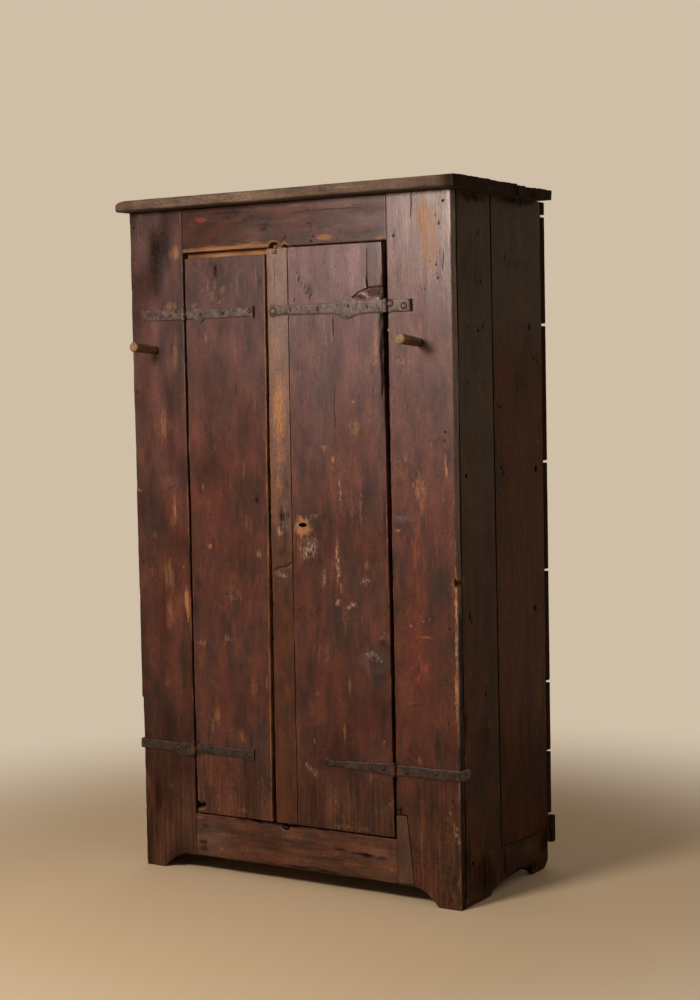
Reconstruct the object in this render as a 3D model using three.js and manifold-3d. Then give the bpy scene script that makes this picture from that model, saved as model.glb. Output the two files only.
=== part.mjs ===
// A tall provincial linen cupboard (bonnetiere) in stained pine, built as a three.js scene graph.
// Millimetres, x to the right, y to the back and z up. While it is built, the front face of the
// frame is y = 0, the middle of the front is x = 0 and the floor is z = 0. The finished group is
// then moved so that its origin is the middle of the footprint of its bounding box.
import * as THREE from "three";
import { mergeVertices } from "three/addons/utils/BufferGeometryUtils.js";
import Module from "manifold-3d";

const wasm = await Module();
wasm.setup();

// Carcass: driving sizes.
const carcassWidth = 900;
const carcassDepth = 444;
const carcassHeight = 1616;
const frameThickness = 24;
const sideThickness = 24;
const leftStileWidth = 160;
const rightStileWidth = 167;
const topRailHeight = 105;
const bottomRailHeight = 105;
const boardGap = 0.8;
const fitGap = 0.3;
const cutOverrun = 5;

// Joinery of the front frame.
const tenonLength = 42;
const tenonThickness = 8;
const tenonSetback = 10;
const tenonShoulder = 12;

// Scrolled feet of the stiles, and the arched lower edge of the sides.
const footRise = 41;
const footWidth = 60;
const footScrollLength = 75;
const footScrollShares = [0.27, 0.75, 0.53, 0.05];
const sideFrontFoot = 143;
const sideRearFoot = 90;
const archPeakSetback = 151;
const archRise = 26;
const heelLength = 34;
const heelRise = 34;

// Boards of the sides: the joint between the two boards leans a little.
const sideJointTop = 185;
const sideJointBottom = 197;
const sidePatchFrontHeight = 102;
const sidePatchBackHeight = 92;

// Wedge of new wood let into the face of the right stile beside the lower rail.
const stilePatchDepth = 7;
const stilePatchTop = 202;
const stilePatchBottom = 45;
const stilePatchTopWidth = 28;
const stilePatchBottomWidth = 45;

// Broken notch in the lower edge of the upper rail.
const notchInset = 30;
const notchWidth = 20;
const notchHeight = 13;

// Top boards.
const topThickness = 27;
const topRearThickness = 24;
const topFrontOverhang = 47;
const topRightOverhang = 39;
const topLeftOverhang = 6;
const topBackSetback = 8;
const topFrontBoardDepth = 297;

// Back planks, nailed across the rear edges of the sides. The lowest one sticks out on the right.
const backThickness = 20;
const backPlankGap = 4;
const backSeamShares = [1, 0.978, 0.8175, 0.6132, 0.4499, 0.2809, 0.1751, 0.0786, 0.0377];
const lowPlankReach = 10;

// Floor, shelves and the cleats that carry them.
const floorTop = 146;
const floorThickness = 22;
const floorFrontBoardDepth = 212;
const shelfThickness = 20;
const shelfSetback = 52;
const shelfSideGap = 1;
const shelfHeightShares = [0.31, 0.525, 0.74];
const cleatWidth = 25;
const cleatHeight = 25;
const cleatEndGap = 12;

// Batten behind the upper rail that stops the leaves and holds the top bolt of the left one.
const stopBattenDepth = 26;
const stopBattenHeight = 50;
const stopBattenLap = 26;
const stopBattenEndGap = 4;

// Hanging pegs, driven through the stiles and tilted up.
const pegLength = 88;
const pegRadius = 12.5;
const pegNeckRadius = 10.5;
const pegShankRadius = 9.5;
const pegTipChamfer = 3;
const pegTail = 4;
const pegTilt = THREE.MathUtils.degToRad(5);
const pegSides = 8;
const pegHeight = 1279;
const leftPegInset = 72;
const rightPegInset = 85;

// Door leaves: plain boards on two ledges each.
const leafThickness = 23;
const leafFloorGap = 2.5;
const leftLeafHeadGap = 14;
const rightLeafHeadGap = 2;
const leftHingeGap = 5;
const rightHingeGapTop = 13;
const rightHingeGapBottom = 6;
const leftLeafTopShare = 0.4188;
const leftLeafBottomShare = 0.3962;
const middleGapTop = 4;
const middleGapBottom = 11;
const narrowBoardTopWidth = 60;
const narrowBoardBottomWidth = 62;
const ledgeThickness = 20;
const ledgeHeight = 70;
const ledgeInset = 16;

// Strap hinges.
const hingeDrop = 252;
const hingeRise = 307;
const plateThickness = 3;
const knuckleRadius = 6;
const knuckleHeight = 28;
const middleKnuckleHeight = 10;
const knuckleGap = 0.4;
const pinRadius = 2.4;
const boreRadius = 3;
const pinHeadRadius = 4.2;
const pinHeadHeight = 2.5;
const plateStandoff = 8;
const ironSides = 16;
const hingeAxisGap = 2.5;
const wrapDepth = 47;

// Strap and frame-plate sizes. A strap's inset is from its end to the free edge of its leaf. Each
// outline lists shares of the length from the hinge axis, and shares of the height above and below
// the middle line.
const upperLeftStrapInset = 32;
const upperLeftStrapHeight = 24;
const upperRightStrapInset = 6;
const upperRightStrapHeight = 26;
const lowerLeftStrapInset = 47;
const lowerLeftStrapHeight = 24;
const lowerRightStrapInset = 140;
const lowerRightStrapHeight = 26;
const upperLeftPlateLength = 124;
const upperLeftPlateHeight = 25;
const upperRightPlateLength = 66;
const upperRightPlateHeight = 29;
const lowerPlateHeight = 25;
const plainBandShares = [
  [0, 0.5, 0.5],
  [1, 0.5, 0.5],
];
const lowBossShares = [
  [0, 0.5, 0.5],
  [0.13, 0.5, 0.5],
  [0.17, 0.5, 0.8],
  [0.21, 0.5, 0.85],
  [0.27, 0.45, 0.5],
  [0.96, 0.45, 0.45],
  [0.96, 0.55, 0.55],
  [1, 0.55, 0.55],
];
const fullBossShares = [
  [0, 0.6, 0.6],
  [0.22, 0.62, 0.62],
  [0.27, 0.8, 0.8],
  [0.295, 0.98, 0.98],
  [0.335, 1, 1],
  [0.365, 0.75, 0.8],
  [0.42, 0.48, 0.48],
  [0.945, 0.42, 0.42],
  [0.96, 0.54, 0.54],
  [0.985, 0.54, 0.54],
  [1, 0.3, 0.3],
];
const flaredBandShares = [
  [0, 0.45, 0.45],
  [0.85, 0.45, 0.45],
  [0.95, 0.6, 0.68],
  [1, 0.56, 0.66],
];
const taperedTailShares = [
  [0, 0.5, 0.5],
  [0.9, 0.24, 0.24],
  [0.95, 0.34, 0.34],
  [1, 0.18, 0.18],
];
const crankedPlateShares = [
  [0, 0.5, 0.85],
  [0.18, 0.5, 0.85],
  [0.34, 0.42, 0.46],
  [1, 0.46, 0.46],
];

// Lock on the back of the right leaf, with its keeper on the left one.
const keyholeInset = 31.2;
const keyholeHeight = 863;
const keyholeWidth = 23;
const keyholeTall = 10;
const lockCaseWidth = 105;
const lockCaseHeight = 80;
const lockCaseDepth = 20;
const lockWall = 2;
const lockKeyMargin = 25;
const lockGuidePlace = 46;
const boltHeight = 14;
const boltDepth = 9;
const boltLength = 92;
const boltNose = 3;
const boltKeyGap = 3;
const boltBackGap = 0.3;
const slotGap = 0.4;
const boltThrow = 30;
const keeperBite = 10;
const keeperWidth = 16;
const keeperWall = 3;
const keeperBoltGap = 2;
const keeperFoot = 6;

// Sliding bolt on the back of the left leaf that shoots up into the stop batten.
const shootBoltSide = 9;
const shootBoltInset = 40;
const shootBoltThrow = 18;
const shootBoltTail = 12;
const shootBoltHeadGap = 3;
const shootPlateWidth = 26;
const shootPlateHeight = 62;
const shootPlateThickness = 2;
const shootPlateDrop = 15;
const shootLoopHeight = 7;
const shootLoopWall = 4;
const shootLoopInset = 8;
const shootKnobHeight = 10;
const shootKnobReach = 10;
const shootBoltStandoff = 3;
const boltHoleGap = 1;

// Materials.
const finish = (color, roughness, metalness = 0) =>
  new THREE.MeshStandardMaterial({ color, roughness, metalness });
const stainedPine = finish(0x4b2a1c, 0.62);
const paleWornPine = finish(0x6e452a, 0.68);
const sidePine = finish(0x33251a, 0.66);
const topPine = finish(0x54463a, 0.8);
const rawPine = finish(0x8a6240, 0.85);
const patchWood = finish(0x4a3526, 0.7);
const pegWood = finish(0x5a452c, 0.55);
const forgedIron = finish(0x3a3431, 0.58, 0.75);
const lockIron = finish(0x403a36, 0.55, 0.75);

// Places that several pieces share.
const leftFace = -carcassWidth / 2;
const rightFace = carcassWidth / 2;
const leftOpening = leftFace + leftStileWidth;
const rightOpening = rightFace - rightStileWidth;
const railHeadZ = carcassHeight - topRailHeight;
const sillZ = footRise + bottomRailHeight;
const innerLeft = leftFace + sideThickness;
const innerRight = rightFace - sideThickness;
const leafBottom = sillZ + leafFloorGap;
const leftLeafTop = railHeadZ - leftLeafHeadGap;
const rightLeafTop = railHeadZ - rightLeafHeadGap;
const upperHingeZ = carcassHeight - hingeDrop;
const lowerHingeZ = hingeRise;
const leafBack = leafThickness;
const openingWidth = rightOpening - leftOpening;
const archStart = sideFrontFoot;
const archPeak = carcassDepth - archPeakSetback;
const archEnd = carcassDepth - sideRearFoot;
const heelStart = carcassDepth - heelLength;

// Edges of the leaves' boards at the bottom and at the top. The free edges lean.
const leftLeafHingeX = leftOpening + leftHingeGap;
const leftLeafFreeBottom = leftOpening + leftLeafBottomShare * openingWidth;
const leftLeafFreeTop = leftOpening + leftLeafTopShare * openingWidth;
const narrowLeftBottom = leftLeafFreeBottom + middleGapBottom;
const narrowLeftTop = leftLeafFreeTop + middleGapTop;
const narrowRightBottom = narrowLeftBottom + narrowBoardBottomWidth;
const narrowRightTop = narrowLeftTop + narrowBoardTopWidth;
const wideRightBottom = rightOpening - rightHingeGapBottom;
const wideRightTop = rightOpening - rightHingeGapTop;
const keyholeX = narrowRightBottom + boardGap + keyholeInset;
const notchCentre = leftLeafFreeTop + notchInset;

const cabinet = new THREE.Group();
const carcass = new THREE.Group();
const leftLeaf = new THREE.Group();
const rightLeaf = new THREE.Group();
const hinges = new THREE.Group();
const lock = new THREE.Group();
cabinet.add(carcass, leftLeaf, rightLeaf, hinges, lock);

const mix = THREE.MathUtils.lerp;

// The solid of a closed geometry, and the geometry of a solid.
function solidOf(geometry) {
  const bare = geometry.clone();
  bare.deleteAttribute("normal");
  bare.deleteAttribute("uv");
  const merged = mergeVertices(bare);
  return new wasm.Manifold(
    new wasm.Mesh({
      numProp: 3,
      vertProperties: merged.attributes.position.array,
      triVerts: new Uint32Array(merged.index.array),
    }),
  );
}

function geometryOf(solid) {
  const mesh = solid.getMesh();
  const geometry = new THREE.BufferGeometry();
  geometry.setAttribute("position", new THREE.BufferAttribute(mesh.vertProperties, 3));
  geometry.setIndex(new THREE.BufferAttribute(mesh.triVerts, 1));
  const facets = geometry.toNonIndexed();
  facets.computeVertexNormals();
  return facets;
}

function joined(...geometries) {
  return geometryOf(geometries.map(solidOf).reduce((whole, piece) => whole.add(piece)));
}

function cut(geometry, ...tools) {
  return geometryOf(tools.map(solidOf).reduce((whole, tool) => whole.subtract(tool), solidOf(geometry)));
}

// A block between two corners.
function block(x0, x1, y0, y1, z0, z1) {
  const geometry = new THREE.BoxGeometry(x1 - x0, y1 - y0, z1 - z0);
  return geometry.translate((x0 + x1) / 2, (y0 + y1) / 2, (z0 + z1) / 2);
}

function extruded(points, depth) {
  const outline = new THREE.Shape(points.map(([a, b]) => new THREE.Vector2(a, b)));
  return new THREE.ExtrudeGeometry(outline, { depth, bevelEnabled: false });
}

// Prisms from an outline of (x, z) points between two values of y, and of (y, z) points between
// two values of x.
function frontPrism(points, y0, y1) {
  return extruded(points, y1 - y0)
    .rotateX(Math.PI / 2)
    .translate(0, y1, 0);
}

function sidePrism(points, x0, x1) {
  const turn = new THREE.Matrix4().makeBasis(
    new THREE.Vector3(0, 1, 0),
    new THREE.Vector3(0, 0, 1),
    new THREE.Vector3(1, 0, 0),
  );
  return extruded(points, x1 - x0)
    .applyMatrix4(turn)
    .translate(x0, 0, 0);
}

// A round bar standing on z0.
function upright(radius, x, y, z0, height, sides = ironSides) {
  return new THREE.CylinderGeometry(radius, radius, height, sides)
    .rotateX(Math.PI / 2)
    .translate(x, y, z0 + height / 2);
}

// Adds a named mesh whose own origin is the middle of its geometry.
function place(parent, name, geometry, material) {
  geometry.computeBoundingBox();
  const middle = geometry.boundingBox.getCenter(new THREE.Vector3());
  geometry.translate(-middle.x, -middle.y, -middle.z);
  const mesh = new THREE.Mesh(geometry, material);
  mesh.name = name;
  mesh.position.copy(middle);
  parent.add(mesh);
  return mesh;
}

// Stiles. The inner lower corner is cut to a scrolled foot, and the inner edge is mortised for the
// tenons of both rails.
function stileOutline(outerX, innerX, inward) {
  const footX = outerX + inward * footWidth;
  const scrollX = footX + inward * footScrollLength;
  const [nearShare, nearRiseShare, farShare, farRiseShare] = footScrollShares;
  const scroll = new THREE.CubicBezierCurve(
    new THREE.Vector2(footX, 0),
    new THREE.Vector2(mix(footX, scrollX, nearShare), footRise * farRiseShare),
    new THREE.Vector2(mix(footX, scrollX, farShare), footRise * nearRiseShare),
    new THREE.Vector2(scrollX, footRise),
  );
  return [
    [outerX, 0],
    ...scroll.getPoints(8).map((point) => [point.x, point.y]),
    [innerX, footRise],
    [innerX, carcassHeight],
    [outerX, carcassHeight],
  ];
}

function railTenonHeights(bottomZ, topZ) {
  return [bottomZ + tenonShoulder, topZ - tenonShoulder];
}

function mortise(innerX, outward, bottomZ, topZ) {
  const [low, high] = railTenonHeights(bottomZ, topZ);
  const deepX = innerX + outward * (tenonLength + fitGap);
  const mouthX = innerX - outward * cutOverrun;
  return block(
    Math.min(deepX, mouthX),
    Math.max(deepX, mouthX),
    tenonSetback - fitGap,
    tenonSetback + tenonThickness + fitGap,
    low - fitGap,
    high + fitGap,
  );
}

// The bore for a peg follows the peg's tilted axis through the middle of the stile.
function pegBore(x) {
  const length = frameThickness + cutOverrun + cutOverrun;
  return new THREE.CylinderGeometry(
    pegShankRadius + fitGap,
    pegShankRadius + fitGap,
    length,
    pegSides,
  )
    .rotateX(Math.PI - pegTilt)
    .translate(x, frameThickness / 2, pegHeight);
}

const leftPegX = leftFace + leftPegInset;
const rightPegX = rightFace - rightPegInset;

place(
  carcass,
  "stile_left",
  cut(
    frontPrism(stileOutline(leftFace, leftOpening, 1), 0, frameThickness),
    mortise(leftOpening, -1, railHeadZ, carcassHeight),
    mortise(leftOpening, -1, footRise, sillZ),
    pegBore(leftPegX),
  ),
  stainedPine,
);

// The wedge-shaped patch in the right stile, and the recess that it lies in.
function patchOutline(margin) {
  return [
    [rightOpening, stilePatchBottom - margin],
    [rightOpening + stilePatchBottomWidth + margin, stilePatchBottom - margin],
    [rightOpening + stilePatchTopWidth + margin, stilePatchTop + margin],
    [rightOpening, stilePatchTop + margin],
  ];
}

const patchRecess = joined(
  frontPrism(patchOutline(fitGap), -cutOverrun, stilePatchDepth),
  block(
    rightOpening - cutOverrun,
    rightOpening + fitGap,
    -cutOverrun,
    stilePatchDepth,
    stilePatchBottom - fitGap,
    stilePatchTop + fitGap,
  ),
);

place(
  carcass,
  "stile_right",
  cut(
    frontPrism(stileOutline(rightFace, rightOpening, -1), 0, frameThickness),
    mortise(rightOpening, 1, railHeadZ, carcassHeight),
    mortise(rightOpening, 1, footRise, sillZ),
    pegBore(rightPegX),
    patchRecess,
  ),
  stainedPine,
);

place(carcass, "stile_right_patch", frontPrism(patchOutline(0), 0, stilePatchDepth), patchWood);

// Rails, each with a tenon at both ends.
function rail(bottomZ, topZ) {
  const [low, high] = railTenonHeights(bottomZ, topZ);
  return joined(
    block(leftOpening, rightOpening, 0, frameThickness, bottomZ, topZ),
    block(
      leftOpening - tenonLength,
      rightOpening + tenonLength,
      tenonSetback,
      tenonSetback + tenonThickness,
      low,
      high,
    ),
  );
}

const notch = block(
  notchCentre - notchWidth / 2,
  notchCentre + notchWidth / 2,
  -cutOverrun,
  frameThickness + cutOverrun,
  railHeadZ - cutOverrun,
  railHeadZ + notchHeight,
);
place(carcass, "top_rail", cut(rail(railHeadZ, carcassHeight), notch), stainedPine);
place(carcass, "bottom_rail", rail(footRise, sillZ), paleWornPine);

// Sides. Each is two upright boards with an arched lower edge between a front and a rear foot.
function footLine(y) {
  if (y > archStart && y < archEnd) {
    const reach = y < archPeak ? archPeak - archStart : archEnd - archPeak;
    return archRise * Math.sqrt(1 - ((y - archPeak) / reach) ** 2);
  }
  if (y > heelStart) {
    const along = (y - heelStart) / (carcassDepth - heelStart);
    return heelRise * (1 - Math.sqrt(Math.max(0, 1 - along ** 2)));
  }
  return 0;
}

function footLinePoints(y0, y1) {
  const stops = [archStart, archPeak, archEnd, heelStart].filter((y) => y > y0 && y < y1);
  const marks = [y0, ...stops, y1];
  const steps = 6;
  const points = [];
  for (let i = 0; i + 1 < marks.length; i += 1) {
    const middle = footLine((marks[i] + marks[i + 1]) / 2);
    const parts = middle > 0 ? steps : 1;
    for (let k = 0; k < parts; k += 1) {
      const y = mix(marks[i], marks[i + 1], k / parts);
      points.push([y, footLine(y)]);
    }
  }
  points.push([y1, footLine(y1)]);
  return points;
}

function frontSideBoard(x0, x1) {
  return sidePrism(
    [
      ...footLinePoints(frameThickness, sideJointBottom),
      [sideJointTop, carcassHeight],
      [frameThickness, carcassHeight],
    ],
    x0,
    x1,
  );
}

// The y of the joint between the two boards of a side, at a height.
function sideJointAt(z) {
  return mix(sideJointBottom, sideJointTop, z / carcassHeight) + boardGap;
}

const sidePatchFrontY = sideJointAt(sidePatchFrontHeight);

place(carcass, "side_left_front_board", frontSideBoard(leftFace, innerLeft), sidePine);
place(carcass, "side_right_front_board", frontSideBoard(innerRight, rightFace), sidePine);
place(
  carcass,
  "side_left_rear_board",
  sidePrism(
    [
      ...footLinePoints(sideJointAt(0), carcassDepth),
      [carcassDepth, carcassHeight],
      [sideJointAt(carcassHeight), carcassHeight],
    ],
    leftFace,
    innerLeft,
  ),
  sidePine,
);
place(
  carcass,
  "side_right_rear_board",
  sidePrism(
    [
      [sidePatchFrontY, sidePatchFrontHeight + boardGap],
      [carcassDepth, sidePatchBackHeight + boardGap],
      [carcassDepth, carcassHeight],
      [sideJointAt(carcassHeight), carcassHeight],
    ],
    innerRight,
    rightFace,
  ),
  sidePine,
);
place(
  carcass,
  "side_right_foot_board",
  sidePrism(
    [
      ...footLinePoints(sideJointAt(0), carcassDepth),
      [carcassDepth, sidePatchBackHeight],
      [sidePatchFrontY, sidePatchFrontHeight],
    ],
    innerRight,
    rightFace,
  ),
  sidePine,
);

// Top boards.
const topLeft = leftFace - topLeftOverhang;
const topRight = rightFace + topRightOverhang;
const topJoint = topFrontBoardDepth - topFrontOverhang;
place(
  carcass,
  "top_front_board",
  block(topLeft, topRight, -topFrontOverhang, topJoint, carcassHeight, carcassHeight + topThickness),
  topPine,
);
place(
  carcass,
  "top_rear_board",
  block(
    topLeft,
    topRight,
    topJoint + boardGap,
    carcassDepth - topBackSetback,
    carcassHeight,
    carcassHeight + topRearThickness,
  ),
  topPine,
);

// Back planks, from the top down.
for (let i = 0; i + 1 < backSeamShares.length; i += 1) {
  const last = i + 2 === backSeamShares.length;
  const upper = backSeamShares[i] * carcassHeight;
  const lower = backSeamShares[i + 1] * carcassHeight + (last ? 0 : backPlankGap);
  place(
    carcass,
    `back_plank_${i + 1}`,
    block(
      leftFace,
      rightFace + (last ? lowPlankReach : 0),
      carcassDepth,
      carcassDepth + backThickness,
      lower,
      upper,
    ),
    rawPine,
  );
}

// Floor boards and shelves, each level on a pair of cleats.
function cleats(name, topZ, material) {
  for (const [side, x] of [
    ["left", innerLeft],
    ["right", innerRight - cleatWidth],
  ]) {
    place(
      carcass,
      `${name}_cleat_${side}`,
      block(
        x,
        x + cleatWidth,
        shelfSetback,
        carcassDepth - cleatEndGap,
        topZ - cleatHeight,
        topZ,
      ),
      material,
    );
  }
}

const shelfLeft = innerLeft + shelfSideGap;
const shelfRight = innerRight - shelfSideGap;
const floorUnder = floorTop - floorThickness;
place(
  carcass,
  "floor_front_board",
  block(
    shelfLeft,
    shelfRight,
    frameThickness,
    frameThickness + floorFrontBoardDepth,
    floorUnder,
    floorTop,
  ),
  rawPine,
);
place(
  carcass,
  "floor_rear_board",
  block(
    shelfLeft,
    shelfRight,
    frameThickness + floorFrontBoardDepth + boardGap,
    carcassDepth,
    floorUnder,
    floorTop,
  ),
  rawPine,
);
cleats("floor", floorUnder, rawPine);

shelfHeightShares.forEach((share, i) => {
  const topZ = share * carcassHeight;
  place(
    carcass,
    `shelf_${i + 1}`,
    block(shelfLeft, shelfRight, shelfSetback, carcassDepth, topZ - shelfThickness, topZ),
    rawPine,
  );
  cleats(`shelf_${i + 1}`, topZ - shelfThickness, rawPine);
});

// Pegs. Each is one whittled length with its tail just behind the stile.
const pegProfile = [
  [0, 0],
  [pegShankRadius, 0],
  [pegShankRadius, pegTail + frameThickness + fitGap + fitGap],
  [pegNeckRadius, pegTail + frameThickness + pegTail],
  [pegRadius, pegTail + frameThickness + pegLength - pegTipChamfer],
  [pegRadius - pegTipChamfer, pegTail + frameThickness + pegLength],
  [0, pegTail + frameThickness + pegLength],
].map(([radius, along]) => new THREE.Vector2(radius, along));

for (const [name, x] of [
  ["peg_left", leftPegX],
  ["peg_right", rightPegX],
]) {
  const peg = new THREE.Mesh(new THREE.LatheGeometry(pegProfile, pegSides), pegWood);
  const toMiddle = pegTail + frameThickness / 2;
  peg.name = name;
  peg.rotation.x = Math.PI - pegTilt;
  peg.position.set(
    x,
    frameThickness / 2 + toMiddle * Math.cos(pegTilt),
    pegHeight - toMiddle * Math.sin(pegTilt),
  );
  carcass.add(peg);
}

// Leaves.
function leafBoard(leftBottomX, rightBottomX, leftTopX, rightTopX, topZ) {
  return frontPrism(
    [
      [leftBottomX, leafBottom],
      [rightBottomX, leafBottom],
      [rightTopX, topZ],
      [leftTopX, topZ],
    ],
    0,
    leafThickness,
  );
}

place(
  leftLeaf,
  "left_leaf_board",
  leafBoard(leftLeafHingeX, leftLeafFreeBottom, leftLeafHingeX, leftLeafFreeTop, leftLeafTop),
  stainedPine,
);
place(
  rightLeaf,
  "right_leaf_narrow_board",
  leafBoard(narrowLeftBottom, narrowRightBottom, narrowLeftTop, narrowRightTop, rightLeafTop),
  paleWornPine,
);

const keyhole = new THREE.CylinderGeometry(
  keyholeTall / 2,
  keyholeTall / 2,
  leafThickness + cutOverrun + cutOverrun,
  ironSides,
)
  .scale(keyholeWidth / keyholeTall, 1, 1)
  .translate(keyholeX, leafThickness / 2, keyholeHeight);
place(
  rightLeaf,
  "right_leaf_wide_board",
  cut(
    leafBoard(
      narrowRightBottom + boardGap,
      wideRightBottom,
      narrowRightTop + boardGap,
      wideRightTop,
      rightLeafTop,
    ),
    keyhole,
  ),
  stainedPine,
);

// Ledges across the back of each leaf, behind the straps.
for (const [level, z] of [
  ["upper", upperHingeZ],
  ["lower", lowerHingeZ],
]) {
  place(
    leftLeaf,
    `left_leaf_ledge_${level}`,
    block(
      leftLeafHingeX + ledgeInset,
      leftLeafFreeBottom - ledgeInset,
      leafBack,
      leafBack + ledgeThickness,
      z - ledgeHeight / 2,
      z + ledgeHeight / 2,
    ),
    rawPine,
  );
  place(
    rightLeaf,
    `right_leaf_ledge_${level}`,
    block(
      narrowLeftTop + ledgeInset,
      wideRightTop - ledgeInset,
      leafBack,
      leafBack + ledgeThickness,
      z - ledgeHeight / 2,
      z + ledgeHeight / 2,
    ),
    rawPine,
  );
}

// Strap hinges. The plates lie on the face of the wood, and the knuckles stand in front of it.
const hingeAxisY = -(fitGap + knuckleRadius);
const plateFront = -(fitGap + plateThickness);
const plateBack = -fitGap;
const leftAxisX = leftOpening + hingeAxisGap;
const rightAxisX = rightOpening - hingeAxisGap;

// A forged band from the plate's standoff out to its end, in the direction of x given by way.
function band(axisX, z, way, length, height, shares) {
  const at = (share) => axisX + way * mix(plateStandoff, length, share);
  const upper = shares.map(([along, above]) => [at(along), z + above * height]);
  const lower = shares.map(([along, , below]) => [at(along), z - below * height]);
  const ring = [...lower, ...upper.reverse()];
  return frontPrism(way > 0 ? ring : ring.reverse(), plateFront, plateBack);
}

// A knuckle with the tongue that joins it to its plate, not yet bored.
function knuckle(axisX, way, z0, height) {
  const farX = axisX + way * (plateStandoff + plateThickness);
  return joined(
    upright(knuckleRadius, axisX, hingeAxisY, z0, height),
    block(Math.min(axisX, farX), Math.max(axisX, farX), plateFront, plateBack, z0, z0 + height),
  );
}

function bore(axisX, z) {
  return upright(
    boreRadius,
    axisX,
    hingeAxisY,
    z - knuckleHeight / 2 - cutOverrun,
    knuckleHeight + cutOverrun + cutOverrun,
  );
}

const outerKnuckleHeight = (knuckleHeight - middleKnuckleHeight) / 2 - knuckleGap;

function strap(hinge) {
  return cut(
    joined(
      band(hinge.axisX, hinge.z, hinge.way, hinge.strapLength, hinge.strapHeight, hinge.strapShares),
      knuckle(hinge.axisX, hinge.way, hinge.z - middleKnuckleHeight / 2, middleKnuckleHeight),
    ),
    bore(hinge.axisX, hinge.z),
  );
}

function framePlate(hinge) {
  const back = -hinge.way;
  const bottomZ = hinge.z - knuckleHeight / 2;
  const topZ = hinge.z + knuckleHeight / 2 - outerKnuckleHeight;
  const pieces = [
    band(hinge.axisX, hinge.z, back, hinge.plateLength, hinge.plateHeight, hinge.plateShares),
    knuckle(hinge.axisX, back, bottomZ, outerKnuckleHeight),
    knuckle(hinge.axisX, back, topZ, outerKnuckleHeight),
  ];
  if (hinge.wraps) {
    const [, above, below] = hinge.plateShares.at(-1);
    const cornerX = hinge.axisX + back * hinge.plateLength;
    const innerX = cornerX - back * plateThickness;
    pieces.push(
      block(
        Math.min(cornerX, innerX),
        Math.max(cornerX, innerX),
        plateFront,
        wrapDepth,
        hinge.z - below * hinge.plateHeight,
        hinge.z + above * hinge.plateHeight,
      ),
    );
  }
  return cut(joined(...pieces), bore(hinge.axisX, hinge.z));
}

// Pin with a small head that rests on the upper knuckle.
function hingePin(hinge) {
  const profile = [
    [0, 0],
    [pinRadius, 0],
    [pinRadius, knuckleHeight + knuckleGap],
    [pinHeadRadius, knuckleHeight + knuckleGap],
    [pinHeadRadius, knuckleHeight + knuckleGap + pinHeadHeight],
    [0, knuckleHeight + knuckleGap + pinHeadHeight],
  ].map(([radius, along]) => new THREE.Vector2(radius, along));
  return new THREE.LatheGeometry(profile, ironSides)
    .rotateX(Math.PI / 2)
    .translate(hinge.axisX, hingeAxisY, hinge.z - knuckleHeight / 2);
}

const cornerReach = fitGap + plateThickness;
const hingeTable = [
  {
    name: "upper_left",
    leaf: leftLeaf,
    axisX: leftAxisX,
    z: upperHingeZ,
    way: 1,
    strapLength: leftLeafFreeTop - upperLeftStrapInset - leftAxisX,
    strapHeight: upperLeftStrapHeight,
    strapShares: lowBossShares,
    plateLength: upperLeftPlateLength,
    plateHeight: upperLeftPlateHeight,
    plateShares: plainBandShares,
    wraps: false,
  },
  {
    name: "upper_right",
    leaf: rightLeaf,
    axisX: rightAxisX,
    z: upperHingeZ,
    way: -1,
    strapLength: rightAxisX - narrowLeftTop - upperRightStrapInset,
    strapHeight: upperRightStrapHeight,
    strapShares: fullBossShares,
    plateLength: upperRightPlateLength,
    plateHeight: upperRightPlateHeight,
    plateShares: plainBandShares,
    wraps: false,
  },
  {
    name: "lower_left",
    leaf: leftLeaf,
    axisX: leftAxisX,
    z: lowerHingeZ,
    way: 1,
    strapLength: leftLeafFreeBottom - lowerLeftStrapInset - leftAxisX,
    strapHeight: lowerLeftStrapHeight,
    strapShares: flaredBandShares,
    plateLength: leftAxisX - leftFace + cornerReach,
    plateHeight: lowerPlateHeight,
    plateShares: crankedPlateShares,
    wraps: true,
  },
  {
    name: "lower_right",
    leaf: rightLeaf,
    axisX: rightAxisX,
    z: lowerHingeZ,
    way: -1,
    strapLength: rightAxisX - narrowLeftBottom - lowerRightStrapInset,
    strapHeight: lowerRightStrapHeight,
    strapShares: taperedTailShares,
    plateLength: rightFace - rightAxisX + cornerReach,
    plateHeight: lowerPlateHeight,
    plateShares: plainBandShares,
    wraps: true,
  },
];

for (const hinge of hingeTable) {
  place(hinge.leaf, `strap_${hinge.name}`, strap(hinge), forgedIron);
  place(hinges, `hinge_plate_${hinge.name}`, framePlate(hinge), forgedIron);
  place(hinges, `hinge_pin_${hinge.name}`, hingePin(hinge), forgedIron);
}

// Lock. The case is a tray that opens on the back of the leaf, with the bolt above the keyhole.
const caseRight = keyholeX + lockKeyMargin;
const caseLeft = caseRight - lockCaseWidth;
const caseBack = leafBack + lockCaseDepth;
const boltBottom = keyholeHeight + keyholeTall / 2 + boltKeyGap;
const boltMiddle = boltBottom + boltHeight / 2;
const boltRear = caseBack - lockWall - boltBackGap;
const caseBottom = keyholeHeight - lockCaseHeight / 2;
const caseTop = keyholeHeight + lockCaseHeight / 2;
const guideX = caseLeft + lockGuidePlace;

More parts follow.
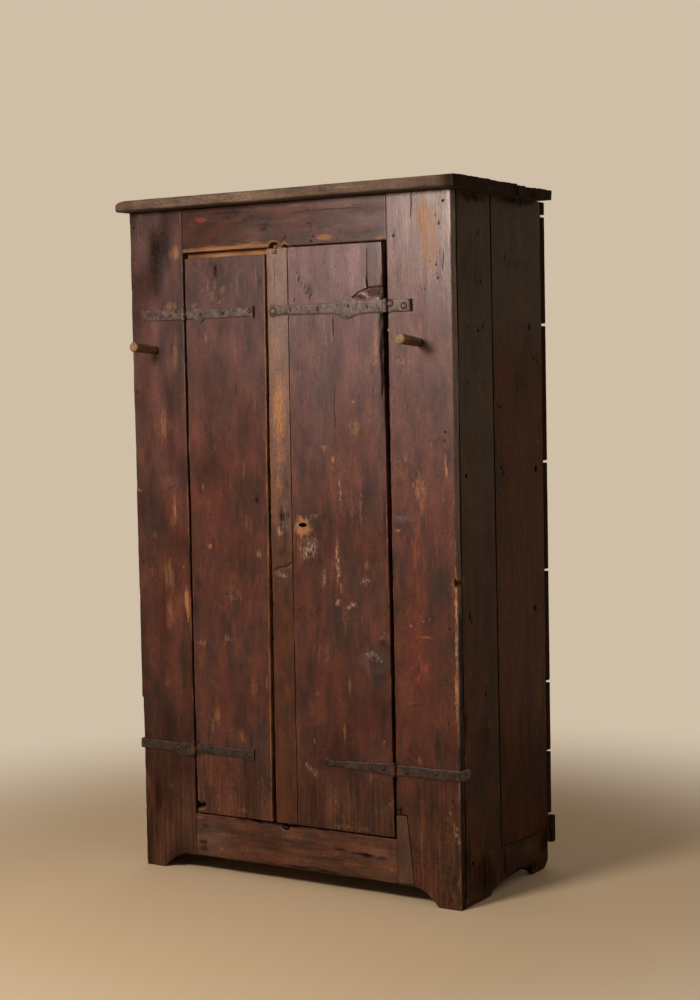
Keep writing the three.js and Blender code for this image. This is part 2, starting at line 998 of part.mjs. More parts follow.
const caseHollow = block(
  caseLeft + lockWall,
  caseRight - lockWall,
  leafBack - cutOverrun,
  caseBack - lockWall,
  caseBottom + lockWall,
  caseTop - lockWall,
);
const caseGuide = block(
  guideX,
  guideX + lockWall,
  leafBack,
  caseBack - lockWall / 2,
  caseBottom + lockWall / 2,
  caseTop - lockWall / 2,
);
const boltSlot = block(
  caseLeft - cutOverrun,
  guideX + lockWall + cutOverrun,
  boltRear - boltDepth - slotGap,
  boltRear + boltBackGap,
  boltBottom - slotGap,
  boltBottom + boltHeight + slotGap,
);
place(
  lock,
  "lock_case",
  cut(
    joined(
      cut(block(caseLeft, caseRight, leafBack, caseBack, caseBottom, caseTop), caseHollow),
      caseGuide,
    ),
    boltSlot,
  ),
  lockIron,
);
const boltLeft = caseLeft - boltNose;
place(
  lock,
  "lock_bolt",
  block(
    boltLeft,
    boltLeft + boltLength,
    boltRear - boltDepth,
    boltRear,
    boltBottom,
    boltBottom + boltHeight,
  ),
  lockIron,
);

// Keeper: a bridge on two feet on the back of the left leaf, open along x for the bolt.
const keeperRight = boltLeft - boltThrow + keeperBite;
const keeperOuter = boltHeight / 2 + keeperBoltGap + keeperWall;
const keeperInner = boltHeight / 2 + keeperBoltGap;
const keeperTop = boltRear + keeperBoltGap;
place(
  lock,
  "lock_keeper",
  sidePrism(
    [
      [leafBack, boltMiddle - keeperOuter - keeperFoot],
      [leafBack + keeperWall, boltMiddle - keeperOuter - keeperFoot],
      [leafBack + keeperWall, boltMiddle - keeperOuter],
      [keeperTop + keeperWall, boltMiddle - keeperOuter],
      [keeperTop + keeperWall, boltMiddle + keeperOuter],
      [leafBack + keeperWall, boltMiddle + keeperOuter],
      [leafBack + keeperWall, boltMiddle + keeperOuter + keeperFoot],
      [leafBack, boltMiddle + keeperOuter + keeperFoot],
      [leafBack, boltMiddle + keeperInner],
      [keeperTop, boltMiddle + keeperInner],
      [keeperTop, boltMiddle - keeperInner],
      [leafBack, boltMiddle - keeperInner],
    ],
    keeperRight - keeperWidth,
    keeperRight,
  ),
  lockIron,
);

// Shooting bolt of the left leaf: a plate with two bridges, and a square bolt with a knob.
const battenBottom = railHeadZ - stopBattenLap;
const shootX = leftLeafFreeBottom - shootBoltInset;
const shootPlateTop = battenBottom - shootPlateDrop;
const shootPlateBottom = shootPlateTop - shootPlateHeight;
const shootBoltFront = leafBack + shootPlateThickness + shootBoltStandoff;
const shootBoltBack = shootBoltFront + shootBoltSide;
const shootBoltTop = battenBottom - shootBoltHeadGap;
const lowLoopZ = shootPlateBottom + shootLoopInset;
const highLoopZ = shootPlateTop - shootLoopInset - shootLoopHeight;
const shootHalf = shootBoltSide / 2;

function shootLoop(z0) {
  return cut(
    block(
      shootX - shootHalf - slotGap - shootLoopWall,
      shootX + shootHalf + slotGap + shootLoopWall,
      leafBack + shootPlateThickness / 2,
      shootBoltBack + slotGap + shootLoopWall,
      z0,
      z0 + shootLoopHeight,
    ),
    block(
      shootX - shootHalf - slotGap,
      shootX + shootHalf + slotGap,
      shootBoltFront - slotGap,
      shootBoltBack + slotGap,
      z0 - cutOverrun,
      z0 + shootLoopHeight + cutOverrun,
    ),
  );
}

place(
  leftLeaf,
  "shoot_bolt_plate",
  joined(
    block(
      shootX - shootPlateWidth / 2,
      shootX + shootPlateWidth / 2,
      leafBack,
      leafBack + shootPlateThickness,
      shootPlateBottom,
      shootPlateTop,
    ),
    shootLoop(lowLoopZ),
    shootLoop(highLoopZ),
  ),
  lockIron,
);

const knobBottom = highLoopZ - knuckleGap - shootBoltThrow - shootKnobHeight;
place(
  lock,
  "shoot_bolt",
  joined(
    block(
      shootX - shootHalf,
      shootX + shootHalf,
      shootBoltFront,
      shootBoltBack,
      lowLoopZ - shootBoltTail,
      shootBoltTop,
    ),
    block(
      shootX - shootHalf,
      shootX + shootHalf,
      shootBoltFront,
      shootBoltBack + shootKnobReach,
      knobBottom,
      knobBottom + shootKnobHeight,
    ),
  ),
  lockIron,
);

// Stop batten, with the hole that takes the shooting bolt.
place(
  carcass,
  "stop_batten",
  cut(
    block(
      leftOpening + stopBattenEndGap,
      rightOpening - stopBattenEndGap,
      frameThickness,
      frameThickness + stopBattenDepth,
      battenBottom,
      battenBottom + stopBattenHeight,
    ),
    block(
      shootX - shootHalf - boltHoleGap,
      shootX + shootHalf + boltHoleGap,
      shootBoltFront - boltHoleGap,
      shootBoltBack + boltHoleGap,
      battenBottom - cutOverrun,
      battenBottom + shootBoltThrow + boltHoleGap,
    ),
  ),
  rawPine,
);

// The origin goes to the middle of the footprint of the whole bounding box.
cabinet.updateMatrixWorld(true);
const bounds = new THREE.Box3().setFromObject(cabinet, true);
const footprint = bounds.getCenter(new THREE.Vector3());
cabinet.position.set(-footprint.x, -footprint.y, 0);

export default cabinet;
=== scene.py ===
import math
from types import SimpleNamespace

import bmesh
import bpy
import numpy as np
from mathutils import Matrix, Vector


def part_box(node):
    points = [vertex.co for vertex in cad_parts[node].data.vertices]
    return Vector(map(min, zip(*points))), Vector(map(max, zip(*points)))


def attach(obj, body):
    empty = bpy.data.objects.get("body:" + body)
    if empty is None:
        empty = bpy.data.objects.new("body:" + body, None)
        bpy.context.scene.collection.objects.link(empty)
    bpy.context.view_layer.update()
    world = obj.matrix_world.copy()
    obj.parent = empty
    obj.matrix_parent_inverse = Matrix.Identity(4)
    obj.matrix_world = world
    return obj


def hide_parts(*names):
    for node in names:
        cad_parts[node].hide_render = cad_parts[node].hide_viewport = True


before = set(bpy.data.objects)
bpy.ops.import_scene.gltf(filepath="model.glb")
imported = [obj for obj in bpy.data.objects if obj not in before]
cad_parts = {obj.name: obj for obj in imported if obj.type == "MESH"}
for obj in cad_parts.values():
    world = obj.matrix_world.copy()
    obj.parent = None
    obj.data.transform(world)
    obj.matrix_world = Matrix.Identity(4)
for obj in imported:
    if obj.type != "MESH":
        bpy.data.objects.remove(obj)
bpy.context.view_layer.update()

# A tall country linen cupboard in stained pine, with two ledged leaves on hand-forged straps.
# Its own measures are millimetres from the middle of its front, at floor level: x to the right,
# y to the back and z up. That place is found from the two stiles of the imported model.
left_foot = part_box("stile_left")[0]
right_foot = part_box("stile_right")[1]
front_middle = np.array([(left_foot.x + right_foot.x) / 2, left_foot.y, 0.0])


# Stiles. The two uprights of the front are sawn pine planks 24 mm thick, stained dark red-brown
# and waxed for generations. They are mortised for the rails, nailed to the side boards, and
# end in a scrolled foot. Their arrises are rounded by wear, with the pale wood showing through.
def colour(text):
    """Turns a written sRGB colour into the linear one that a shader takes."""
    parts = [int(text[i:i + 2], 16) / 255 for i in (1, 3, 5)]
    return tuple(p / 12.92 if p <= 0.04045 else ((p + 0.055) / 1.055) ** 2.4 for p in parts) + (1.0,)


def add(tree, kind, inputs=None, **options):
    """Adds a node with its options. An input is given a value, a socket, or a node's first output."""
    node = tree.nodes.new(kind)
    for option, value in options.items():
        setattr(node, option, value)
    for key, value in (inputs or {}).items():
        if isinstance(value, bpy.types.Node):
            value = value.outputs[0]
        if isinstance(value, bpy.types.NodeSocket):
            tree.links.new(value, node.inputs[key])
        else:
            node.inputs[key].default_value = value
    return node


def linked(name, data):
    """A new object in the scene."""
    thing = bpy.data.objects.new(name, data)
    bpy.context.scene.collection.objects.link(thing)
    return thing


def own_box(node):
    """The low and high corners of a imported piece, in the cupboard's own millimetres."""
    low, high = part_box(node)
    return (np.array(low) - front_middle) * 1000, (np.array(high) - front_middle) * 1000


def near(distance, width):
    """One where the distance is nothing, falling evenly to zero at the width."""
    return np.clip(1 - distance / width, 0, 1)


def beyond(distance, width):
    """Nothing where the distance is nothing, rising evenly to one at the width."""
    return np.clip(distance / width, 0, 1)


def soft_noise(u, v, seed):
    """Smooth random heights from 0 to 1, one for each unit of u and v."""
    u, v = np.broadcast_arrays(np.asarray(u, float), np.asarray(v, float))
    column, row = np.floor(u), np.floor(v)
    s, t = u - column, v - row
    s, t = s * s * (3 - 2 * s), t * t * (3 - 2 * t)
    heights = []
    for step_u, step_v in ((0, 0), (1, 0), (0, 1), (1, 1)):
        wave = np.sin((column + step_u) * 127.1 + (row + step_v) * 311.7 + seed * 74.7) * 43758.5453
        heights.append(wave - np.floor(wave))
    first = heights[0] * (1 - s) + heights[1] * s
    second = heights[2] * (1 - s) + heights[3] * s
    return first * (1 - t) + second * t


def spaced(low, high, step, close, extra=()):
    """Places from low to high: a close set at both ends, even steps between, and extra ones."""
    close = np.array(close, float)
    inner = np.arange(low + close[-1] + step, high - close[-1] - step / 2, step)
    places = np.concatenate([low + close, high - close, inner, np.array(extra, float)])
    places = np.unique(places[(places >= low) & (places <= high)])
    too_close = 0.28
    kept = [places[0]]
    for place in places[1:-1]:
        if place - kept[-1] > too_close and places[-1] - place > too_close:
            kept.append(place)
    return np.array(kept + [places[-1]])


def sawn_board(node, grain_axis, face_axis, inward, steps=(2.4, 6.0), seed=1, arris=2.2,
               cracks=(), more_rows=(), hidden_step=30.0, box=None):
    """Surface points of a plank: a is across the grain, t below the show face, l along it."""
    low, high = box if box is not None else own_box(node)
    across_axis = 3 - grain_axis - face_axis
    thickness = high[face_axis] - low[face_axis]
    crack_columns = [c + d for c, *_ in cracks for d in (-2.2, -1.1, -0.5, 0.0, 0.5, 1.1, 2.2)]
    columns = spaced(low[across_axis], high[across_axis], steps[0], (0, 0.7, 1.6, 3.0, 5.0),
                     crack_columns)
    rows = spaced(low[grain_axis], high[grain_axis], steps[1], (0, 0.5, 1.3, 2.6, 5.0), more_rows)
    sides = spaced(0, thickness, 4.0, (0, 0.8, 2.2))[1:-1]
    pick = np.unique(np.linspace(0, len(columns) - 1,
                                 max(3, int(np.ptp(columns) / hidden_step))).astype(int))
    back = columns[pick]
    ring_a = np.concatenate([columns, np.full(len(sides), columns[-1]), back[::-1],
                             np.full(len(sides), columns[0])])
    ring_t = np.concatenate([np.zeros(len(columns)), sides, np.full(len(back), thickness),
                             sides[::-1]])
    a = np.tile(ring_a, (len(rows), 1))
    t = np.tile(ring_t, (len(rows), 1))
    l = np.tile(rows[:, None], (1, len(ring_a)))

    # Worn arrises: each of the four long corners is rounded by an amount that changes along it.
    to_side = np.minimum(a - columns[0], columns[-1] - a)
    to_face = np.minimum(t, thickness - t)
    high_side = a > (columns[0] + columns[-1]) / 2
    corner = high_side * 2 + (t > thickness / 2)
    wear = soft_noise(l / 70, corner * 9.1, seed + 3)
    nick = soft_noise(l / 16, corner * 5.3 + 40, seed + 4) ** 5
    rounding = np.where(high_side, *np.broadcast_to(arris, 2)[::-1])
    radius = rounding * (0.35 + 1.1 * wear + nick * (t < thickness / 2))
    radius = np.clip(radius, 0.4, thickness * 0.45)
    reach = np.maximum(to_side, to_face)
    on_face = (t == 0) | (t == thickness)
    turn = near(reach, radius) * math.pi / 4
    set_in = np.where(turn > 0, radius - radius * np.sin(turn), reach)
    drop = radius - radius * np.cos(turn)
    to_end = np.minimum(l - rows[0], rows[-1] - l)
    end_radius = 1.8
    past_end = np.maximum(end_radius - to_end, 0)
    bite = end_radius - np.sqrt(np.maximum(end_radius ** 2 - past_end ** 2, 0))
    new_side = np.where(on_face, set_in, drop + bite)
    new_face = np.where(on_face, drop + bite, set_in)
    new_a = np.where(high_side, columns[-1] - new_side, columns[0] + new_side)
    new_t = np.where(t > thickness / 2, thickness - new_face, new_face)

    # The saw and the years: edges that wander a little, and a face that isn't quite flat.
    wander = 1.3 * soft_noise(l / 170, high_side * 31.0, seed + 5)
    wander += 0.5 * soft_noise(l / 28, high_side * 17.0, seed + 6)
    at_edge = near(to_side, 12)
    new_a += np.where(high_side, -1, 1) * wander * at_edge * np.clip(rounding / 1.5, 0, 1)
    hollow = 0.75 * soft_noise(a / 45, l / 260, seed + 7) + 0.3 * soft_noise(a / 13, l / 60, seed + 8)
    new_t += hollow * (t < thickness / 2)

    # Drying cracks along the grain, opened in the face.
    open_crack = np.zeros_like(a)
    for place, start, end, width, depth in cracks:
        sway = (soft_noise(l / 30, place, seed + 9) - 0.5) * 3.0
        to_tip = np.clip(np.minimum(l - start, end - l) / 10, 0, 1)
        gap = near(np.abs(a - place), width) * to_tip * (t == 0)
        new_t += gap * depth
        new_a += sway * near(np.abs(a - place), 14) * (t == 0)
        open_crack = np.maximum(open_crack, gap)
    clean = np.zeros_like(a)
    return SimpleNamespace(
        node=node, a=new_a, t=new_t, l=l.copy(), flat_a=a, flat_t=t, rows=rows, columns=columns,
        pick=pick, sides=sides, reach=reach, low=low, high=high, thickness=thickness, seed=seed,
        grain_axis=grain_axis, face_axis=face_axis, across_axis=across_axis, inward=inward,
        crack=open_crack, bend=clean.copy(), worn=clean, grime=clean, haze=clean, blush=clean,
        chalk=clean)


def strongest(*marks):
    """The strongest of several marks at each point."""
    return np.maximum.reduce(marks)


def mottling(board, across, along, seed):
    """Soft noise on a board, in patches of a size across and along the grain."""
    return soft_noise(board.flat_a / across, board.l / along, seed)


def in_spots(board, spots, ragged=4.0):
    """How far each point lies in any spot, given as place across and along, half sizes, strength."""
    a = board.flat_a + (mottling(board, 5, 14, board.seed + 11) - 0.5) * ragged
    l = board.l + (mottling(board, 9, 11, board.seed + 12) - 0.5) * ragged * 3
    found = np.zeros_like(a)
    for across, along, half_width, half_length, strength in spots:
        away = np.hypot((a - across) / half_width, (l - along) / half_length)
        found = np.maximum(found, strength * np.clip(1.35 - away, 0, 1) ** 1.5)
    if ragged >= 4:
        found *= 0.55 + 0.8 * mottling(board, 5, 26, board.seed + 14)
    return found


def by_line(board, points):
    """The distance of each point from a bent line of (across, along) points."""
    nearest = np.full(board.a.shape, 1e9)
    for (a0, l0), (a1, l1) in zip(points, points[1:]):
        span = (a1 - a0) ** 2 + (l1 - l0) ** 2
        share = ((board.flat_a - a0) * (a1 - a0) + (board.l - l0) * (l1 - l0)) / span
        share = np.clip(share, 0, 1)
        away = np.hypot(board.flat_a - a0 - share * (a1 - a0), board.l - l0 - share * (l1 - l0))
        nearest = np.minimum(nearest, away)
    return nearest


def add_knots(board, knots):
    """Bends the grain round each knot, given as place across and along, and radius."""
    for across, along, radius in knots:
        beside = board.flat_a - across
        above = board.l - along
        push = beside / np.sqrt(beside ** 2 + (0.4 * radius) ** 2)
        fade = np.exp(-(beside / (2.6 * radius)) ** 2 - (above / (4.0 * radius)) ** 2)
        board.bend -= push * radius * 0.8 * fade


def set_vectors(mesh, name, values):
    """Gives each point of a mesh its own vector."""
    attribute = mesh.attributes.new(name, "FLOAT_VECTOR", "POINT")
    attribute.data.foreach_set("vector", np.array(values, np.float32).ravel())


def set_marks(mesh, **marks):
    """Gives each point of a mesh the strength of its marks, from 0 to 1."""
    for mark, values in marks.items():
        attribute = mesh.attributes.new(mark, "FLOAT", "POINT")
        attribute.data.foreach_set("value", np.clip(values, 0, 1).astype(np.float32).ravel())


def place_piece(name, mesh, material, body, node):
    mesh.materials.append(material)
    piece = linked(name, mesh)
    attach(piece, body)
    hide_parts(node)
    return piece


def make_board(board, name, body, material):
    rows, ring = board.a.shape
    place = np.empty((rows, ring, 3))
    face = board.low if board.inward > 0 else board.high
    place[..., board.across_axis] = board.a
    place[..., board.face_axis] = face[board.face_axis] + board.inward * board.t
    place[..., board.grain_axis] = board.l
    points = place.reshape(-1, 3) / 1000 + front_middle
    index = np.arange(rows * ring).reshape(rows, ring)
    after = np.roll(index, -1, axis=1)
    quads = np.stack([index[:-1], after[:-1], after[1:], index[1:]], axis=-1).reshape(-1, 4)
    faces = quads.tolist()
    front = len(board.columns)
    side = len(board.sides)
    hidden = len(board.pick)
    back_start = front + side
    for row, upper in ((0, False), (rows - 1, True)):
        for k in range(hidden - 1):
            strip = list(range(board.pick[k], board.pick[k + 1] + 1))
            if k == hidden - 2:
                strip += list(range(front, front + side))
            strip += [back_start + hidden - 2 - k, back_start + hidden - 1 - k]
            if k == 0:
                strip += list(range(back_start + hidden, ring))
            cap = [row * ring + corner for corner in strip]
            faces.append(cap if upper else cap[::-1])
    axes = np.zeros((3, 3))
    axes[board.across_axis, 0] = 1
    axes[board.face_axis, 1] = board.inward
    axes[board.grain_axis, 2] = 1
    if np.linalg.det(axes) < 0:
        faces = [face_corners[::-1] for face_corners in faces]
    mesh = bpy.data.meshes.new(name)
    mesh.from_pydata(points.tolist(), [], faces)
    smooth = np.ones(len(faces), bool)
    smooth[len(quads):] = False
    mesh.polygons.foreach_set("use_smooth", smooth)
    grain = np.stack([board.flat_a - board.columns.mean() + board.bend,
                      board.flat_t, board.l + board.seed * 5300.0], axis=-1)
    set_vectors(mesh, "grain", grain / 1000)
    set_marks(mesh, worn=board.worn, grime=board.grime, haze=board.haze, blush=board.blush,
              chalk=board.chalk * (board.flat_t < 8))
    return place_piece(name, mesh, material, body, board.node)


def edge_wear(board, amount, width=3.5):
    """Pale wood along the front arrises, in runs that come and go."""
    close = near(board.reach, width)
    runs = soft_noise(board.l / 55, board.flat_a / 300, board.seed + 13)
    return amount * close * np.clip(runs * 1.9 - 0.45, 0, 1) * (board.flat_t < 8)


def new_material(name):
    """A material with an empty node tree, and the tree."""
    material = bpy.data.materials.new(name)
    material.use_nodes = True
    material.node_tree.nodes.clear()
    return material, material.node_tree


def pine_finish(name, shades, roughness=(0.22, 0.36), scratches=0.5, ring_strength=0.6, relief=0.24,
                shine=0.42, mottled=0.26):
    """Sawn pine under stain and old wax. The grain attribute carries each board's own grain."""
    material, tree = new_material(name)
    shades = {part: colour(shade) for part, shade in shades.items()}
    grain = add(tree, "ShaderNodeAttribute", attribute_name="grain").outputs["Vector"]
    worn, grime, haze, blush, chalk = (
        add(tree, "ShaderNodeAttribute", attribute_name=mark).outputs["Fac"]
        for mark in ("worn", "grime", "haze", "blush", "chalk"))

    # Streaks along the grain, by width and length in millimetres, and clouds from 110 to 4 mm wide.
    streaks = [((1000 / width, 1000 / width, 1000 / length), detail, 0.6)
               for width, length, detail in ((42, 700, 2.0), (9, 210, 3.0), (1.6, 60, 2.0))]
    clouds = [((9.0, 9.0, 3.3), 4.0, 0.62), ((25.0, 25.0, 10.0), 6.0, 0.66),
              ((30.0, 30.0, 11.0), 5.0, 0.68), ((260.0, 260.0, 90.0), 3.0, 0.7)]
    noises = []
    for stretch, detail, unevenness in streaks + clouds:
        drawn = add(tree, "ShaderNodeVectorMath", {0: grain, 1: stretch}, operation="MULTIPLY")
        noises.append(add(tree, "ShaderNodeTexNoise", {
            "Vector": drawn, "Scale": 1.0, "Detail": detail, "Roughness": unevenness}))
    broad, middle, fine, cloud, blot, thin, speck = noises

    # Yearly rings, 4.5 mm apart round a pith some 60 mm behind the face, which wanders along the board.
    ring_spacing = 0.0045
    places = add(tree, "ShaderNodeSeparateXYZ", {0: grain}).outputs
    sway = add(tree, "ShaderNodeMath", {0: broad, 1: 0.09, 2: -0.045}, operation="MULTIPLY_ADD")
    across = add(tree, "ShaderNodeMath", {0: places[0], 1: sway}, operation="ADD")
    behind = add(tree, "ShaderNodeMath", {0: broad, 1: 0.12, 2: 0.0}, operation="MULTIPLY_ADD")
    inward = add(tree, "ShaderNodeMath", {0: places[1], 1: behind}, operation="ADD")
    from_pith = add(tree, "ShaderNodeCombineXYZ", {0: across, 1: inward})
    radius = add(tree, "ShaderNodeVectorMath", {0: from_pith}, operation="LENGTH").outputs["Value"]
    year = add(tree, "ShaderNodeMath", {0: radius, 1: 1 / ring_spacing}, operation="MULTIPLY")
    year = add(tree, "ShaderNodeMath", {0: year}, operation="FRACT")
    ring = add(tree, "ShaderNodeMath", {0: year, 1: 3.0}, operation="POWER")

    # Stain: uneven in blots of 40 mm and darker in the streaks and rings.
    mixed = 0.0
    for noise, weight in ((middle, 0.14), (fine, 0.12), (broad, 0.22), (blot, 0.8)):
        mixed = add(tree, "ShaderNodeMath", {0: noise, 1: weight, 2: mixed}, operation="MULTIPLY_ADD")
    tone = add(tree, "ShaderNodeMapRange", {0: mixed, 1: 0.52, 2: 0.76, 3: 0.0, 4: 1.0})
    ring_shade = add(tree, "ShaderNodeMath", {0: ring, 1: 0.2 * ring_strength}, operation="MULTIPLY")

    # The red of the stain comes up in the clouds and glows where the blush is strongest. Between
    # the clouds it is dusky, and where it is thin, the honey colour of the pine comes through.
    red = add(tree, "ShaderNodeMath", {0: cloud, 1: 1.9, 2: -0.85}, operation="MULTIPLY_ADD")
    red = add(tree, "ShaderNodeMath", {0: red, 1: blush}, operation="ADD")
    red = add(tree, "ShaderNodeMath", {0: red, 1: 0.55}, operation="MULTIPLY", use_clamp=True)
    glowing = add(tree, "ShaderNodeMapRange", {0: blush, 1: 0.88, 2: 1.0, 3: 0.0, 4: 0.6})
    dusky = add(tree, "ShaderNodeMapRange", {0: cloud, 1: 0.34, 2: 0.54, 3: 0.6, 4: 0.0})
    thinned = add(tree, "ShaderNodeMapRange", {0: thin, 1: 0.52, 2: 0.74, 3: 0.0, 4: 0.48})

    # Bloom and sheen: a lilac-grey bloom in the old wax, stronger in the blots, and painted sheen.
    hazed = add(tree, "ShaderNodeMath", {0: blot, 1: 1.1, 2: 0.1}, operation="MULTIPLY_ADD")
    hazed = add(tree, "ShaderNodeMath", {0: hazed, 1: haze}, operation="MULTIPLY", use_clamp=True)

    # Bare wood where hands, keys and knocks have gone through the stain.
    bare = add(tree, "ShaderNodeMix", {0: ring, 6: shades["bare"], 7: shades["bare_ring"]},
               data_type="RGBA").outputs[2]
    ragged = add(tree, "ShaderNodeMath", {0: speck, 1: 1.1, 2: worn}, operation="MULTIPLY_ADD")
    ragged = add(tree, "ShaderNodeMath", {0: middle, 1: 0.9, 2: ragged}, operation="MULTIPLY_ADD")
    bared = add(tree, "ShaderNodeMapRange", {0: ragged, 1: 1.28, 2: 2.0, 3: 0.0, 4: 0.85})

    # Straight scratches 1 mm wide and up to 90 mm long, at three slants to the grain.
    lines = []
    for slant in (0.35, -0.85, 1.35):
        turned = add(tree, "ShaderNodeMapping",
                     {0: grain, 2: (0.0, slant, 0.0), 3: (0.0011, 0.03, 0.09)}, vector_type="TEXTURE")
        stroke = add(tree, "ShaderNodeTexNoise", {"Vector": turned, "Scale": 1.0, "Detail": 0.0})
        lines.append(add(tree, "ShaderNodeMapRange", {0: stroke, 1: 0.69, 2: 0.78, 3: 0.0, 4: 1.0}))
    crossed = add(tree, "ShaderNodeMath", {0: lines[0], 1: lines[1]}, operation="MAXIMUM")
    crossed = add(tree, "ShaderNodeMath", {0: crossed, 1: lines[2]}, operation="MAXIMUM")
    in_cloud = add(tree, "ShaderNodeMapRange", {0: cloud, 1: 0.42, 2: 0.6, 3: 0.05, 4: scratches})
    scratched = add(tree, "ShaderNodeMath", {0: crossed, 1: in_cloud}, operation="MULTIPLY")
    scratched = add(tree, "ShaderNodeMath", {0: scratched, 1: speck}, operation="MULTIPLY")

    # Small pale rubs in groups, where knocks took the stain off, and whitish scuffs, where
    # something hard has bruised the old wax.
    rub = add(tree, "ShaderNodeMapRange", {0: speck, 1: 0.62, 2: 0.8, 3: 0.0, 4: 0.5})
    group = add(tree, "ShaderNodeMapRange", {0: blot, 1: 0.46, 2: 0.62, 3: 0.05, 4: 1.0})
    rubbed = add(tree, "ShaderNodeMath", {0: rub, 1: group}, operation="MULTIPLY")
    bruise = add(tree, "ShaderNodeMapRange", {0: speck, 1: 0.46, 2: 0.6, 3: 0.0, 4: 0.95})
    scuffed = add(tree, "ShaderNodeMath", {0: chalk, 1: bruise}, operation="MULTIPLY")

    # Dark dents and worm holes.
    cells = add(tree, "ShaderNodeTexVoronoi", {"Vector": grain, "Scale": 46.0}, feature="F1").outputs
    lot = add(tree, "ShaderNodeSeparateXYZ", {0: cells["Color"]})
    dent = add(tree, "ShaderNodeMapRange", {0: lot, 1: 0.45, 2: 1.0, 3: 0.0, 4: 0.11})
    dent = add(tree, "ShaderNodeMath", {0: dent, 1: cells["Distance"]}, operation="SUBTRACT")
    dent = add(tree, "ShaderNodeMath", {0: dent, 1: 22.0}, operation="MULTIPLY", use_clamp=True)

    # Grime and shade: soot and old wax in the hollows, ink-dark stains, and painted shade.
    dirt_and_shade = add(tree, "ShaderNodeMath", {0: speck, 1: 0.7, 2: grime}, operation="MULTIPLY_ADD")
    dirt_and_shade = add(tree, "ShaderNodeMapRange", {0: dirt_and_shade, 1: 0.47, 2: 1.1, 3: 0.0, 4: 1.0})
    dirt_and_shade = add(tree, "ShaderNodeMath", {0: dirt_and_shade, 1: dent}, operation="MAXIMUM")

    # All of them are laid over the darkest stain in turn, and the whole is mottled.
    surface = shades["deep"]
    for share, shade in (
            (tone, shades["light"]), (ring_shade, shades["deep"]), (red, shades["red"]),
            (glowing, colour("#96422c")), (dusky, shades["dusk"]), (thinned, shades["warm"]),
            (hazed, shades["haze"]), (bared, bare), (scratched, shades["bare"]), (rubbed, bare),
            (scuffed, colour("#c4ac98")), (dirt_and_shade, shades["grime"])):
        surface = add(tree, "ShaderNodeMix", {0: share, 6: surface, 7: shade},
                      data_type="RGBA").outputs[2]
    mottle = add(tree, "ShaderNodeMapRange", {0: speck, 1: 0.3, 2: 0.7, 3: 1 - mottled, 4: 1 + mottled})
    surface = add(tree, "ShaderNodeVectorMath", {0: surface, "Scale": mottle}, operation="SCALE")

    # Waxed stain shines; bare wood, dirt and painted shade are duller. The relief is the raised grain.
    dull = add(tree, "ShaderNodeMath", {0: bared, 1: dirt_and_shade}, operation="MAXIMUM")
    gloss = add(tree, "ShaderNodeMapRange", {0: fine, 1: 0.3, 2: 0.7, 3: roughness[0], 4: roughness[1]})
    gloss = add(tree, "ShaderNodeMath", {0: dull, 1: 0.24, 2: gloss}, operation="MULTIPLY_ADD",
                use_clamp=True)
    height = 0.0
    for raised, weight in ((fine, 0.6), (middle, 0.7), (speck, 0.35), (scratched, -0.5), (ring, -0.15),
                           (dent, -1.5), (blot, 1.2)):
        height = add(tree, "ShaderNodeMath", {0: raised, 1: weight, 2: height}, operation="MULTIPLY_ADD")
    bump = add(tree, "ShaderNodeBump", {"Strength": relief, "Distance": 0.0011, "Height": height})
    waxed = add(tree, "ShaderNodeMath", {0: dull, 1: -0.9 * shine, 2: shine}, operation="MULTIPLY_ADD")
    shader = add(tree, "ShaderNodeBsdfPrincipled",
                 {"Base Color": surface, "Roughness": gloss, "Normal": bump,
                  "Metallic": 0.0, "IOR": 1.5, "Specular IOR Level": waxed})
    add(tree, "ShaderNodeOutputMaterial", {0: shader})
    return material


stained_pine = pine_finish("waxed_stained_pine", {
    "deep": "#1f0e09", "light": "#643125", "red": "#63271e", "warm": "#874622", "haze": "#7c686e",
    "dusk": "#2a1e19", "bare": "#b5835b", "bare_ring": "#8f5d3c", "grime": "#1c120d"})

foot_rise = 41.0
foot_width = 60.0
foot_scroll = 70.0
foot_roundness = 2.2
outer_left, inner_left = own_box("stile_left")[0][0], own_box("stile_left")[1][0]
inner_right, outer_right = own_box("stile_right")[0][0], own_box("stile_right")[1][0]


def scroll_foot(board, outer, inward):
    """Cuts the foot: flat under the outer edge, then a quarter round up to the lower rail."""
    run = beyond((board.a - outer) * inward - foot_width, foot_scroll)
    rise = foot_rise * (1 - (1 - run) ** foot_roundness)
    board.l += rise * near(board.l, 260)


# Left stile. Its own marks are given as place across and up, half width, half height and strength.
left_stile = sawn_board("stile_left", 2, 1, 1, seed=1,
                        cracks=[(-418, 1549, 1614, 1.3, 3.0), (-334, 70, 215, 0.9, 1.5)],
                        more_rows=np.arange(915, 985, 2.5))
scroll_foot(left_stile, outer_left, 1)
cut_back = np.where((left_stile.flat_a < -425) & (left_stile.l < 424), 3.5, 0.0)
left_stile.a += cut_back * beyond(-425 - left_stile.flat_a, 20)
dark_dip = by_line(left_stile, [(-450, 948), (-432, 932), (-395, 924), (-350, 938), (-294, 972)])
left_stile.t += near(dark_dip, 7) * 0.5 * (left_stile.flat_t == 0)
left_stile.grime = strongest(
    in_spots(left_stile, [
        (-362, 1575, 34, 70, 0.42), (-440, 150, 16, 80, 0.5), (-430, 128, 14, 30, 0.6),
        (-365, 25, 80, 40, 0.5), (-330, 1360, 40, 14, 0.3), (-315, 1230, 8, 60, 0.2),
        (-300, 70, 12, 40, 0.5), (-445, 1590, 8, 80, 0.35), (-378, 1262, 26, 16, 0.35)]),
    near(dark_dip, 9) * 0.36,
    left_stile.crack,
    0.5 * (left_stile.flat_t > 3),
    # The broad darkening below, stronger at the top and the foot, is partly dirt and partly painted
    # shade.
    0.04 + 0.44 * mottling(left_stile, 34, 90, 15)
    + 0.26 * beyond(left_stile.l - 1300, 220)
    + 0.26 * beyond(560 - left_stile.l, 400))
